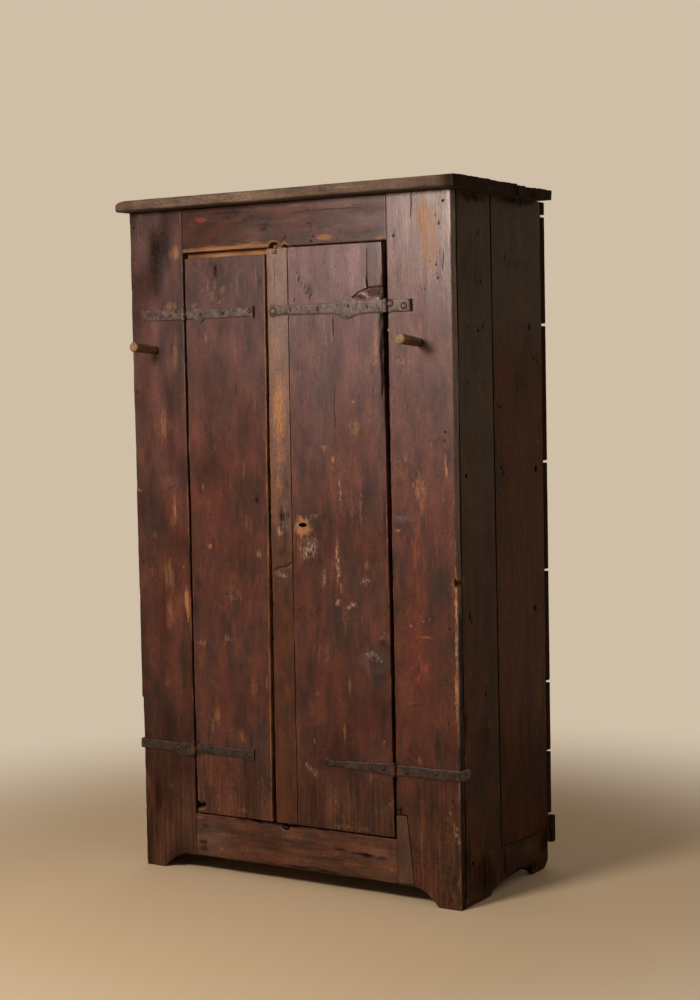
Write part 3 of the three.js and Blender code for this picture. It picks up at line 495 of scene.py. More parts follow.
left_stile.worn = strongest(
    in_spots(left_stile, [
        (-315, 1511, 30, 20, 0.85), (-330, 1383, 36, 14, 0.75), (-318, 1280, 14, 80, 0.42),
        (-355, 1095, 36, 60, 0.5), (-334, 884, 14, 60, 0.58), (-396, 828, 16, 18, 0.45),
        (-358, 733, 28, 60, 0.54), (-359, 636, 16, 60, 0.54), (-365, 447, 18, 54, 0.5),
        (-390, 172, 36, 78, 0.44), (-297, 654, 5, 44, 1.2), (-390, 62, 28, 26, 0.4),
        # The pale spot at -440 across and 936 up is a painted highlight at the end of the dark dip.
        (-440, 936, 14, 5, 0.8), (-310, 752, 4, 5, 1.0), (-365, 205, 7, 9, 0.7),
        (-418, 1500, 10, 30, 0.3), (-313, 165, 16, 110, 0.33), (-447, 683, 4, 7, 0.8),
        (-303, 674, 6, 34, 1.6)]),
    0.4 * beyond(400 - left_stile.l, 260),
    edge_wear(left_stile, 0.75))
left_stile.blush = in_spots(left_stile, [
    (-432, 1478, 20, 50, 0.94), (-400, 1436, 28, 34, 1.1), (-395, 1400, 36, 26, 0.8),
    (-350, 1050, 50, 90, 0.8), (-390, 600, 60, 160, 0.5), (-340, 900, 30, 80, 0.7),
    (-370, 540, 44, 60, 0.8), (-380, 1210, 50, 90, 0.5), (-370, 420, 40, 90, 0.5)])
# The bloom of the old wax, with a painted sheen that rises towards the top and lies in a band above the
# dark dip.
left_stile.haze = 0.5 * np.maximum(
    np.clip((left_stile.l - 800) / 800, 0, 0.9),
    in_spots(left_stile, [
        (-330, 1440, 40, 90, 0.6), (-340, 960, 60, 22, 0.5), (-313, 150, 18, 130, 0.6)]))
make_board(left_stile, "stile_left_plank", "carcass", stained_pine)

# Right stile: the lightest board of the front, with old nail holes and a worn-through rear edge.
right_stile = sawn_board("stile_right", 2, 1, 1, seed=2,
                         cracks=[(348, 1556, 1616, 1.1, 3.0), (428, 1434, 1478, 1.0, 2.5),
                                 (414, 215, 300, 0.7, 1.0)],
                         more_rows=np.arange(200, 206, 1.0))
scroll_foot(right_stile, outer_right, -1)
nail_holes = [(301, 1520, 2.6), (403, 1579, 2.2), (418, 1543, 2.8), (414, 1420, 2.8), (410, 1558, 2.0),
              (425, 1060, 2.6), (424, 423, 3.0), (366, 1399, 1.8), (372, 1398, 1.8), (379, 1398, 1.8),
              (303, 1524, 1.8), (407, 1425, 1.8), (418, 1478, 2.2), (409, 1450, 1.6)]
holes = in_spots(right_stile, [(x, z, r, r * 1.3, 1.0) for x, z, r in nail_holes], ragged=1.0)
right_stile.t += holes * 0.9 * (right_stile.flat_t == 0)
torn_edge = in_spots(right_stile, [
    (450, 742, 14, 22, 1.0), (450, 640, 8, 90, 0.6),
    (450, 500, 9, 80, 0.75)], ragged=3.0) * (right_stile.flat_t < 10)
right_stile.t += torn_edge * 4.0
patch_seam = by_line(right_stile, [(283, 202), (311, 202), (328, 45), (283, 45)])
right_stile.grime = strongest(
    holes * 1.6,
    right_stile.crack,
    (0.2 + 0.3 * soft_noise(right_stile.l / 26, right_stile.flat_t / 5, 17)
     + 0.4 * beyond(900 - right_stile.l, 300)) * (right_stile.flat_t > 3),
    in_spots(right_stile, [
        (292, 212, 10, 10, 0.8), (445, 745, 6, 12, 0.9), (385, 1279, 22, 12, 0.35),
        (400, 25, 80, 34, 0.45), (440, 250, 14, 60, 0.4), (436, 55, 18, 50, 0.5),
        (360, 250, 60, 60, 0.22), (300, 60, 20, 30, 0.4), (350, 1340, 60, 10, 0.25)]),
    near(patch_seam, 2.6) * 1.2, 0.36 * beyond(700 - right_stile.l, 500))
right_stile.worn = strongest(
    in_spots(right_stile, [
        (390, 1556, 46, 76, 0.74), (394, 1490, 32, 80, 0.68), (312, 1236, 20, 10, 0.55),
        (297, 1187, 6, 5, 0.8), (427, 1000, 5, 44, 0.75), (323, 1018, 6, 12, 0.6),
        (360, 948, 26, 66, 0.5), (446, 742, 6, 18, 1.0), (434, 186, 4, 18, 1.0),
        (346, 336, 14, 10, 0.6), (420, 1590, 14, 26, 0.4), (330, 1440, 24, 50, 0.3),
        (443, 330, 6, 40, 0.5), (300, 862, 12, 2.5, 0.8), (428, 30, 10, 12, 0.5),
        (448, 690, 3.5, 60, 1.2), (448, 590, 3.5, 60, 1.1), (445, 500, 4, 60, 1.1)]),
    torn_edge,
    0.34 * beyond(420 - right_stile.l, 260),
    0.95 * near(right_stile.reach, 6) * (right_stile.flat_a > 400)
    * np.clip(3 * soft_noise(right_stile.l / 38, 1, 91) - 1.2, 0, 1) * (right_stile.l < 860),
    near(by_line(right_stile, [(328, 640), (389, 663)]), 1.6) * 0.8,
    near(by_line(right_stile, [(337, 618), (389, 616)]), 1.4) * 0.7,
    near(by_line(right_stile, [(440, 533), (443, 480), (449, 430)]), 3.5),
    edge_wear(right_stile, 0.8))
right_stile.blush = in_spots(right_stile, [
    (360, 1330, 50, 80, 0.6), (366, 830, 90, 190, 0.9), (350, 560, 70, 130, 0.85),
    (400, 1180, 50, 90, 0.6)])
right_stile.chalk = in_spots(right_stile, [
    (443, 190, 5, 7, 1.2), (440, 172, 7, 5, 1.0), (446, 158, 5, 6, 1.1), (436, 182, 8, 4, 0.7),
    (444, 62, 5, 9, 0.7), (446, 742, 5, 8, 0.6), (392, 300, 6, 3, 0.7), (424, 222, 4, 3, 0.8),
    (448, 690, 3, 40, 0.7), (447, 590, 3, 50, 0.6), (444, 480, 3, 50, 0.9),
    (330, 640, 3, 3, 0.5)], ragged=2.0)
# The bloom of the old wax, with a painted sheen that rises towards the top and is strongest on this
# stile.
right_stile.haze = 0.74 * np.maximum(
    np.clip((right_stile.l - 700) / 800, 0, 1.0),
    in_spots(right_stile, [
        (310, 885, 40, 14, 0.8), (300, 1480, 20, 100, 0.9), (380, 1080, 60, 90, 0.5)]))
make_board(right_stile, "stile_right_plank", "carcass", stained_pine)

# Patch: a wedge of another piece of pine, browner and duller, let into the foot of the right stile
# beside the lower rail.
patch_pine = pine_finish("let_in_patch_of_pine", {
    "deep": "#2a1811", "light": "#5c3c2b", "red": "#53301f", "warm": "#6b472f", "haze": "#665248",
    "dusk": "#2a1f19", "bare": "#8c6c4a", "bare_ring": "#6b4a2e", "grime": "#1c130e"},
    roughness=(0.5, 0.66), shine=0.3)
patch = sawn_board("stile_right_patch", 2, 1, 1, steps=(2.0, 4.0), seed=3, arris=0.8, hidden_step=14)
patch_low, patch_high = patch.columns[0], patch.columns[-1]
narrowing = np.clip((patch.l - patch.rows[0]) / np.ptp(patch.rows), 0, 1) * 17 + 0.6
patch.a -= narrowing * (patch.flat_a - patch_low) / (patch_high - patch_low)
patch.t -= 1.1 * (patch.flat_t < 3)
patch.worn = edge_wear(patch, 0.6, 2.0)
patch.haze = np.full_like(patch.a, 0.25)
make_board(patch, "stile_right_patch_wedge", "carcass", patch_pine)


# Rails. The two crosspieces of the front, pine of the same thickness as the stiles and tenoned
# into them. The upper one has lost a chip from its lower edge at the notch for the bolt, and
# shows an orange knot; the lower one is rubbed pale by feet and brooms.
def rail_box(node):
    """The corners of what shows of a rail, between the stiles."""
    low, high = own_box(node)
    rail_thickness = 24.0
    return np.array([inner_left, 0.0, low[2]]), np.array([inner_right, rail_thickness, high[2]])


notch_place = -20.0
top_rail = sawn_board("top_rail", 0, 1, 1, seed=4, hidden_step=40, box=rail_box("top_rail"),
                      cracks=[(1589, 18, 215, 0.9, 0.8)],
                      more_rows=np.arange(notch_place - 26, notch_place + 40, 1.3))
from_low_edge = top_rail.flat_a - top_rail.columns[0]
torn = near(np.abs(top_rail.l - notch_place + 4), 15) ** 0.35
torn *= 0.8 + 0.35 * soft_noise(top_rail.l / 4, 0, 21)
split = near(np.abs(top_rail.l - 6), 9) * 5
top_rail.a += (torn * 12.0 + split) * near(from_low_edge, 28)
drip = by_line(top_rail, [(1592, 76), (1560, 80), (1518, 79)])
short_drip = by_line(top_rail, [(1596, 200), (1570, 198)])
split_line = by_line(top_rail, [(1512, -8), (1526, 2), (1534, 12), (1541, 8)])
knot_spots = [(1527, 117, 8, 24, 1.3)]
add_knots(top_rail, [(1527, 117, 9)])
top_rail.grime = strongest(
    np.clip(1.8 * soft_noise(top_rail.l / 110, top_rail.flat_a / 22, 92) - 0.85, 0, 0.4),
    0.16 + 0.34 * mottling(top_rail, 26, 80, 22),
    in_spots(top_rail, [
        (1590, -120, 30, 150, 0.42), (1565, -48, 26, 30, 0.5), (1600, -150, 14, 90, 0.5),
        (1545, 120, 20, 60, 0.42), (1545, -190, 16, 60, 0.2), (1520, 206, 8, 70, 0.3),
        (1606, 240, 10, 40, 0.35), (1520, 80, 7, 6, 0.7)]),
    near(np.minimum(drip, short_drip), 3.5) * 0.75,
    near(split_line, 2.2) * 0.95,
    in_spots(top_rail, [
        (1540, 74, 2.4, 2.4, 1.0), (1553, 84, 2.2, 2.2, 1.0), (1531, 86, 2.4, 2.4, 1.0),
        (1546, 68, 2.0, 2.0, 1.0), (1562, 76, 2.2, 2.2, 1.0)], ragged=0.6))
top_rail.worn = strongest(
    np.clip(2.2 - from_low_edge / 5.5, 0, 1) * (top_rail.l < 14)
    * (0.75 + 0.4 * soft_noise(top_rail.l / 40, 1, 24)),
    in_spots(top_rail, [
        (1587, -230, 8, 26, 0.35), (1516, -210, 11, 80, 0.85), (1517, -80, 12, 70, 0.95),
        (1516, 266, 8, 14, 0.8), (1516, 4, 7, 26, 0.8), (1594, 150, 4, 80, 0.4), (1606, 40, 4, 40, 0.5),
        (1508, -250, 5, 40, 0.5)]),
    in_spots(top_rail, knot_spots, ragged=1.5) * 1.1,
    edge_wear(top_rail, 0.5))
top_rail.blush = in_spots(top_rail, [
    (1587, -232, 12, 34, 1.3), (1600, 120, 10, 120, 0.8), (1570, 20, 40, 60, 0.6),
    (1527, 117, 14, 40, 0.8)])
# The bloom of the old wax, with a painted sheen that grows towards the right end.
top_rail.haze = np.clip((top_rail.l + 200) / 900, 0.0, 0.5)
make_board(top_rail, "top_rail_plank", "carcass", stained_pine)

worn_pine = pine_finish("rubbed_stained_pine", {
    "deep": "#24110b", "light": "#6b3820", "red": "#602815", "warm": "#8b502b", "haze": "#867069",
    "dusk": "#2a1e18", "bare": "#b27f57", "bare_ring": "#8a5b3e", "grime": "#1b120d"},
    roughness=(0.34, 0.5))
bottom_rail = sawn_board("bottom_rail", 0, 1, 1, seed=5, hidden_step=40, box=rail_box("bottom_rail"),
                         arris=3.4, more_rows=np.arange(-45, -5, 1.8))
from_top_edge = bottom_rail.columns[-1] - bottom_rail.flat_a
gnawed = near(np.abs(bottom_rail.l + 25), 13) ** 0.5 * 8
bottom_rail.a -= gnawed * near(from_top_edge, 20)
hole = in_spots(bottom_rail, [(141, -25, 7, 12, 1.0)], ragged=2.0)
bottom_rail.t += hole * 9 * (bottom_rail.flat_t < 5)
bottom_rail.grime = strongest(
    0.05 + 0.34 * soft_noise(bottom_rail.l / 70, bottom_rail.flat_a / 20, 97),
    0.08 + 0.3 * mottling(bottom_rail, 26, 80, 23),
    hole * 1.2,
    in_spots(bottom_rail, [
        (104, 130, 5, 26, 0.8), (99, 190, 8, 44, 0.7), (95, 240, 8, 26, 0.7), (70, -270, 30, 26, 0.55),
        (115, -262, 30, 22, 0.5), (144, 0, 4, 300, 0.75), (46, 0, 6, 300, 0.6), (104, -232, 5, 6, 0.6),
        (120, 266, 30, 12, 0.5), (84, -120, 12, 60, 0.25), (88, 60, 8, 50, 0.3)]))
bottom_rail.worn = strongest(
    np.full_like(bottom_rail.a, 0.28),
    in_spots(bottom_rail, [
        (136, -276, 8, 12, 0.7), (118, -60, 14, 120, 0.34), (70, 60, 12, 120, 0.36),
        (66, -215, 5, 6, 0.8), (70, 268, 10, 6, 0.7), (110, 80, 16, 60, 0.36), (54, 200, 8, 60, 0.4),
        (60, -100, 9, 90, 0.36)]),
    edge_wear(bottom_rail, 0.55))
bottom_rail.blush = in_spots(bottom_rail, [(90, 0, 50, 200, 0.35)])
bottom_rail.haze = in_spots(bottom_rail, [(90, -250, 50, 60, 0.5), (110, 240, 30, 60, 0.25)]) + 0.08
make_board(bottom_rail, "bottom_rail_plank", "carcass", worn_pine)


# Sides. Each side is two upright pine boards, darker and dustier than the front because nobody
# ever polished them. Their lower edge is arched between a front and a rear foot. On the right
# the rear board was cut short, and its foot is a separate piece.
arch_front, arch_crown, arch_rear, arch_height = 143, 293, 354, 26
heel_start, heel_height = 410, 34
side_height, joint_at_floor, joint_lean, joint_gap = 1616, 197, 12, 0.9


def arch_line(y):
    """The height of a side's lower edge at a place from front to back."""
    reach = np.where(y < arch_crown, arch_crown - arch_front, arch_rear - arch_crown)
    inside = np.clip(1 - ((y - arch_crown) / reach) ** 2, 0, 1)
    arch = arch_height * np.sqrt(inside) * ((y > arch_front) & (y < arch_rear))
    heel = beyond(y - heel_start, heel_height)
    return arch + heel_height * (1 - np.sqrt(1 - heel ** 2))


def joint_line(board):
    """Where the two boards of a side meet: 197 behind the front at the floor, and 185 at the top."""
    return joint_at_floor - joint_lean * board.l / side_height


def follow_joint(board, front_side):
    """Leans the edge of a side's board along the joint."""
    if front_side:
        share = np.clip((board.flat_a - 120) / (joint_at_floor - 120), 0, 1)
        board.a += (joint_line(board) - joint_at_floor) * share
    else:
        share = np.clip((260 - board.flat_a) / (260 - board.columns[0]), 0, 1)
        board.a += (joint_line(board) + joint_gap - board.columns[0]) * share


side_pine = pine_finish("unpolished_stained_pine", {
    "deep": "#180a04", "light": "#482510", "red": "#4c210e", "warm": "#6c3714", "haze": "#534a41",
    "dusk": "#1b120c", "bare": "#98703f", "bare_ring": "#6d4a28", "grime": "#120b07"},
    roughness=(0.5, 0.66), shine=0.1)
for hand, inward, seed in (("right", -1, 6), ("left", 1, 9)):
    steps = (3.4, 6.5) if hand == "right" else (5.0, 9.0)

    front_board = sawn_board(f"side_{hand}_front_board", 2, 0, inward, steps, seed, arris=1.8,
                             cracks=[(31, 1570, 1616, 1.0, 2.0)] if hand == "right" else [])
    follow_joint(front_board, True)
    front_board.l += arch_line(front_board.a) * near(front_board.l, 120)
    side_holes = in_spots(front_board, [
        (123, 1526, 4, 4, 0.8), (138, 1415, 5, 4, 0.9), (64, 1314, 9, 3, 1.0), (147, 1316, 4, 5, 1.0),
        (120, 1304, 7, 2.5, 0.7), (175, 1296, 8, 2.5, 0.9), (52, 981, 6, 3, 1.1), (61, 662, 3, 16, 1.0),
        (66, 650, 6, 3, 1.0), (132, 473, 4, 9, 0.7), (57, 97, 7, 5, 1.0)], ragged=1.5)
    front_board.t += side_holes * 2.4 * (front_board.flat_t < 3)
    front_board.grime = strongest(
        side_holes * 1.3, front_board.crack, np.clip(1.1 - front_board.reach / 1.8, 0, 1),
        in_spots(front_board, [
            (100, 1605, 90, 14, 0.6), (110, 60, 80, 60, 0.5), (35, 110, 16, 60, 0.5),
            (120, 350, 60, 120, 0.25), (90, 1450, 90, 120, 0.22), (30, 420, 12, 60, 0.5)]))
    front_board.worn = strongest(
        in_spots(front_board, [
            (54, 978, 12, 5, 0.7), (28, 745, 12, 14, 0.9), (150, 1150, 14, 60, 0.36),
            (24, 450, 6, 16, 1.0), (30, 345, 10, 12, 0.7), (150, 400, 18, 14, 0.4),
            (100, 775, 12, 10, 0.4), (143, 102, 18, 14, 0.5), (28, 15, 10, 8, 0.7)]),
        edge_wear(front_board, 0.3))
    front_board.blush = in_spots(front_board, [
        (80, 960, 70, 160, 0.8), (60, 1080, 40, 80, 0.6), (110, 700, 80, 200, 0.5),
        (90, 200, 60, 60, 0.6)])
    front_board.haze = np.clip((front_board.l - 600) / 600, 0.05, 0.9)
    make_board(front_board, f"side_{hand}_front_plank", "carcass", side_pine)

    rear_board = sawn_board(f"side_{hand}_rear_board", 2, 0, inward, steps, seed + 1, arris=1.8)
    follow_joint(rear_board, False)
    if hand == "left":
        rear_board.l += arch_line(rear_board.a) * near(rear_board.l, 120)
    else:
        lean = (joint_at_floor - rear_board.a) * 10 / 247
        rear_board.l += (lean + 10) * near(rear_board.l - 92.8, 120)
    add_knots(rear_board, [(375, 1317, 8), (221, 988, 8), (401, 977, 9), (390, 643, 8)])
    crescent = by_line(rear_board, [(203, 1140), (214, 1131), (236, 1128)])
    slit = by_line(rear_board, [(385, 1247), (404, 1240), (420, 1231)])
    knots = in_spots(rear_board, [
        (375, 1317, 7, 7, 1.1), (221, 991, 5, 5, 1.0), (232, 977, 5, 5, 1.0), (401, 977, 9, 8, 1.1),
        (388, 643, 8, 8, 1.1), (255, 1478, 4, 6, 0.7)], ragged=2.0)
    splits = np.minimum(crescent, slit)
    rear_board.t += (near(splits, 3) * 2 + knots * 1.2) * (rear_board.flat_t < 3)
    rear_board.grime = strongest(
        knots * 1.3, np.clip(1.2 - rear_board.reach / 3, 0, 1),
        near(splits, 3.2) * 0.95,
        in_spots(rear_board, [
            (310, 1608, 120, 12, 0.55), (438, 1480, 8, 90, 0.3), (300, 1460, 120, 26, 0.22),
            (330, 300, 90, 60, 0.3), (320, 1180, 60, 50, 0.25)]),
        np.clip((560 - rear_board.l) / 900, 0, 0.3))
    warm_edge = mottling(rear_board, 30, 60, 77)
    warm_part = np.clip((1290 - rear_board.l) / 60 + warm_edge, 0, 1)
    rear_board.worn = strongest(
        in_spots(rear_board, [
            (330, 1370, 60, 44, 0.38), (235, 1320, 40, 40, 0.38), (235, 1080, 10, 60, 0.5),
            (322, 1030, 8, 26, 0.6), (300, 1020, 6, 26, 0.5), (416, 1045, 11, 18, 0.75),
            (300, 450, 6, 60, 0.6), (285, 460, 6, 40, 0.4), (405, 430, 22, 70, 0.5),
            (410, 500, 14, 10, 0.6), (300, 780, 90, 120, 0.3), (370, 570, 16, 18, 0.5),
            (272, 590, 6, 40, 0.5), (270, 900, 20, 40, 0.32), (402, 640, 7, 6, 0.8)]),
        edge_wear(rear_board, 0.3), warm_part * 0.27)
    rear_board.blush = np.minimum(0.8, 0.5 * warm_part + in_spots(rear_board, [
        (330, 930, 100, 160, 0.6), (260, 1150, 60, 120, 0.4), (380, 250, 60, 120, 0.6),
        (300, 600, 120, 200, 0.4)]))
    rear_board.haze = np.clip((rear_board.l - 1240) / 140, 0.0, 0.85)
    make_board(rear_board, f"side_{hand}_rear_plank", "carcass", side_pine)

foot_board = sawn_board("side_right_foot_board", 2, 0, -1, (3.0, 3.0), 8, arris=2.4)
foot_height = 102
from_joint = beyond(260 - foot_board.flat_a, 60)
foot_board.a += (joint_line(foot_board) + joint_gap - foot_board.columns[0]) * from_joint
upright = foot_board.l / foot_height
low_edge = arch_line(foot_board.a)
high_edge = foot_height - (foot_board.a - joint_at_floor) * 10 / 247
foot_board.l = low_edge + (high_edge - low_edge) * upright
foot_board.grime = in_spots(foot_board, [
    (320, 20, 120, 20, 0.7), (420, 70, 30, 40, 0.5), (215, 60, 14, 50, 0.5), (320, 96, 120, 6, 0.4)])
foot_board.worn = strongest(
    edge_wear(foot_board, 0.5),
    in_spots(foot_board, [(345, 70, 12, 10, 0.4)]))
foot_board.blush = in_spots(foot_board, [(300, 50, 80, 50, 0.4)])
make_board(foot_board, "side_right_foot_plank", "carcass", side_pine)


# Back. Eight sawn planks of different heights are nailed across the rear edges of the sides.
# They were never stained: the wood is brown with age and dust, and there are gaps between them.
raw_pine = pine_finish("bare_pine_browned_by_age", {
    "deep": "#6b4a30", "light": "#a17a52", "red": "#8a5836", "warm": "#ad8151", "haze": "#8f806b",
    "dusk": "#6a5440", "bare": "#b98f62", "bare_ring": "#8a6038", "grime": "#35251a"},
    roughness=(0.72, 0.86), scratches=0.3, ring_strength=1.0, relief=0.9)
for number in range(1, 9):
    plank = sawn_board(f"back_plank_{number}", 0, 1, -1, (5.0, 9.0), 30 + number, arris=1.6,
                       hidden_step=60)
    knot_place = float(-300 + (number * 241) % 620)
    knot_height = float((plank.low[2] + plank.high[2]) / 2 + 12)
    plank_knots = [(knot_height, knot_place, 9), (knot_height - 20, knot_place - 330, 7)]
    if plank.high[2] - plank.low[2] < 70:
        plank_knots = plank_knots[:1]
    add_knots(plank, plank_knots)
    core = in_spots(plank, [(h, x, r, r * 1.2, 0.75) for h, x, r in plank_knots], ragged=2.0)
    plank.grime = strongest(
        core, near(plank.reach, 5) * 0.45,
        np.clip(1.3 - np.minimum(plank.l - plank.rows[0], plank.rows[-1] - plank.l) / 14, 0, 1) * 0.85,
        0.25 * soft_noise(plank.l / 120, plank.flat_a / 40, number))
    plank.haze = 0.55 * soft_noise(plank.l / 200, plank.flat_a / 50, number + 60)
    plank.worn = edge_wear(plank, 0.3)
    plank.blush = core
    make_board(plank, f"back_sawn_plank_{number}", "carcass", raw_pine)


# Top. Two boards lie on the carcass, 27 mm thick in front, and overhang it at the front and
# right. They are the most weathered wood here: grey-brown, furrowed, with gnawed edges.
top_pine = pine_finish("weathered_grey_pine", {
    "deep": "#2c1d15", "light": "#715544", "red": "#664432", "warm": "#7f573c", "haze": "#806c60",
    "dusk": "#33271f", "bare": "#9c8466", "bare_ring": "#6a5540", "grime": "#231a14"},
    roughness=(0.6, 0.8), scratches=0.7, ring_strength=1.2, relief=0.9, mottled=0.5)
for node, seed, deep in (("top_front_board", 50, 1.0), ("top_rear_board", 51, 0.6)):
    in_front = node == "top_front_board"
    board = sawn_board(node, 0, 2, -1, (3.2, 5.5), seed, arris=5.0, hidden_step=12,
                       cracks=[(60 if in_front else 330, -300, 90, 1.4, 3.0),
                               (150 if in_front else 400, 60, 400, 1.2, 2.5)],
                       more_rows=np.arange(440, 489, 2.0))
    front_edge = near(board.flat_a - board.columns[0], 18)
    gnaw = 3.4 * soft_noise(board.l / 22, 3.0, seed) ** 2
    gnaw += 2.0 * soft_noise(board.l / 7, 9.0, seed) ** 3
    gnaw += 5.0 * near(np.abs(board.l + 60), 30) * soft_noise(board.l / 9, 5.0, seed)
    board.a += gnaw * front_edge * deep * (1 - 0.5 * board.flat_t / board.thickness)
    left_end = beyond(board.low[0] + 26 - board.l, 26)
    rounding = 12 * (1 - np.sqrt(1 - left_end ** 2)) if in_front else 0
    board.t += rounding * (0.5 - board.flat_t / board.thickness) * 2 * (board.flat_t < 14)
    right_end = near(board.high[0] - board.l, 16)
    board.l -= right_end * (2.5 * soft_noise(board.flat_a / 16, board.flat_t / 12, seed + 2)
                            + 6 * np.clip(7 * soft_noise(board.flat_a / 45, 0, seed + 5) - 4.0, 0, 1))
    furrow = mottling(board, 6, 220, seed + 30) ** 2
    board.t += furrow * (board.flat_t < 3)
    board.grime = strongest(
        board.crack, furrow * 0.4, 0.3 * soft_noise(board.l / 46, board.flat_t / 10, seed + 40) ** 1.5,
        0.5 * (board.flat_t > 24),
        0.34 * beyond(-300 - board.l, 120),
        beyond(board.l - 405, 60) * 0.66,
        0.2 * (soft_noise(board.l / 5, board.flat_t / 5 + board.flat_a / 5, seed + 70) > 0.72))
    bloom = 0.1 + 0.45 * soft_noise(board.l / 70, board.flat_a / 40, seed + 50)
    board.haze = bloom * beyond(470 - board.l, 40)
    board.worn = strongest(
        edge_wear(board, 0.55, 6.0),
        0.45 * soft_noise(board.l / 30, board.flat_t / 9, seed + 60) ** 2)
    make_board(board, node.replace("board", "slab"), "carcass", top_pine)


# Inside. The floor is two boards at the level of the lower rail, and three shelves rest on
# cleats nailed to the sides. All of it is bare pine, darker where linen and hands have rubbed it.
levels = [("floor_front_board", 60), ("floor_rear_board", 61), ("shelf_1", 62), ("shelf_2", 63),
          ("shelf_3", 64)]
for node, seed in levels:
    board = sawn_board(node, 0, 2, -1, (6.0, 12.0), seed, arris=2.0, hidden_step=90)
    board.worn = edge_wear(board, 0.5, 6.0)
    board.haze = 0.4 * soft_noise(board.l / 150, board.flat_a / 80, seed)
    board.grime = 0.35 * soft_noise(board.l / 90, board.flat_a / 60, seed + 1)
    make_board(board, f"{node}_plank", "carcass", raw_pine)
for level in ("floor", "shelf_1", "shelf_2", "shelf_3"):
    for hand, seed in (("left", 70), ("right", 71)):
        node = f"{level}_cleat_{hand}"
        board = sawn_board(node, 1, 0, -1 if hand == "left" else 1, (4.0, 10.0), seed, arris=1.8,
                           hidden_step=9)
        board.grime = 0.4 * soft_noise(board.l / 60, board.flat_a / 20, seed)
        board.worn = edge_wear(board, 0.4)
        make_board(board, f"{node}_strip", "carcass", raw_pine)

# Stop batten: a strip nailed behind the upper rail. The leaves close against it, and the bolt of
# the left leaf shoots up into its hole. Its lower part shows as an ochre line above that leaf.
batten_finish = pine_finish("ochre_pine_batten", {
    "deep": "#6a4426", "light": "#a9794c", "red": "#94602f", "warm": "#b5834f", "haze": "#a08058",
    "dusk": "#6a4a2c", "bare": "#bb8d5a", "bare_ring": "#8d6036", "grime": "#3a2617"},
    roughness=(0.65, 0.8), ring_strength=0.9)


def face_outward(mesh):
    """Turns the faces of a closed mesh outward."""
    shape = bmesh.new()
    shape.from_mesh(mesh)
    bmesh.ops.recalc_face_normals(shape, faces=shape.faces)
    shape.to_mesh(mesh)
    shape.free()


def modified(mesh, kind, **settings):
    """The mesh that a modifier makes of another."""
    carrier = linked("carrier", mesh)
    step = carrier.modifiers.new("step", kind)
    for setting, value in settings.items():
        setattr(step, setting, value)
    evaluated = carrier.evaluated_get(bpy.context.evaluated_depsgraph_get())
    result = bpy.data.meshes.new_from_object(evaluated)
    bpy.data.objects.remove(carrier)
    return result


def cut_hole(piece, low, high, sides=4):
    """Cuts a straight hole between two corners: square, or an oval along y with more sides."""
    low, high = (np.array(corner, float) / 1000 + front_middle for corner in (low, high))
    middle, half = (low + high) / 2, (high - low) / 2
    swell = math.sqrt(2) if sides == 4 else 1.0
    turns = [2 * math.pi * (k + 0.5) / sides for k in range(sides)]
    ring = [(middle[0] + half[0] * swell * math.cos(turn), middle[2] + half[2] * swell * math.sin(turn))
            for turn in turns]
    points = [(x, y, z) for y in (low[1], high[1]) for x, z in ring]
    faces = [[k, (k + 1) % sides, (k + 1) % sides + sides, k + sides] for k in range(sides)]
    faces += [list(range(sides))[::-1], [k + sides for k in range(sides)]]
    mesh = bpy.data.meshes.new("hole")
    mesh.from_pydata(points, [], faces)
    face_outward(mesh)
    cutter = linked("hole", mesh)
    piece.data = modified(piece.data, "BOOLEAN", operation="DIFFERENCE", solver="EXACT", object=cutter)
    bpy.data.objects.remove(cutter)


batten = sawn_board("stop_batten", 0, 1, 1, (3.5, 7.0), 80, arris=1.5, hidden_step=12)
batten.l -= 12 * (batten.l < batten.low[0] + 2)
batten.worn = 0.55 * soft_noise(batten.l / 60, batten.flat_a / 20, 80)
batten.grime = 0.4 * soft_noise(batten.l / 90, batten.flat_a / 12, 81)
batten_strip = make_board(batten, "stop_batten_strip", "carcass", batten_finish)
bolt_low, bolt_high = own_box("shoot_bolt")
bolt_middle = (bolt_low[0] + bolt_high[0]) / 2
cut_hole(batten_strip, (bolt_middle - 5.5, 27, 1480), (bolt_middle + 5.5, 38, 1504))


# Left leaf: one wide pine board, 23 mm thick, with two ledges across its back. Its free edge
# leans, it stops 14 mm short of the rail, and a mouse or a knock has taken its lower corner.
def lean_edges(board, low_bottom, low_top, high_bottom, high_top):
    """Sets the two long edges of a leaf board to lean between given places."""
    share = (board.rows[:, None] - board.rows[0]) / (board.rows[-1] - board.rows[0])
    low_edge = low_bottom + (low_top - low_bottom) * share
    high_edge = high_bottom + (high_top - high_bottom) * share
    from_low = (board.a - board.columns[0]) / (board.columns[-1] - board.columns[0])
    board.a = low_edge + (high_edge - low_edge) * from_low


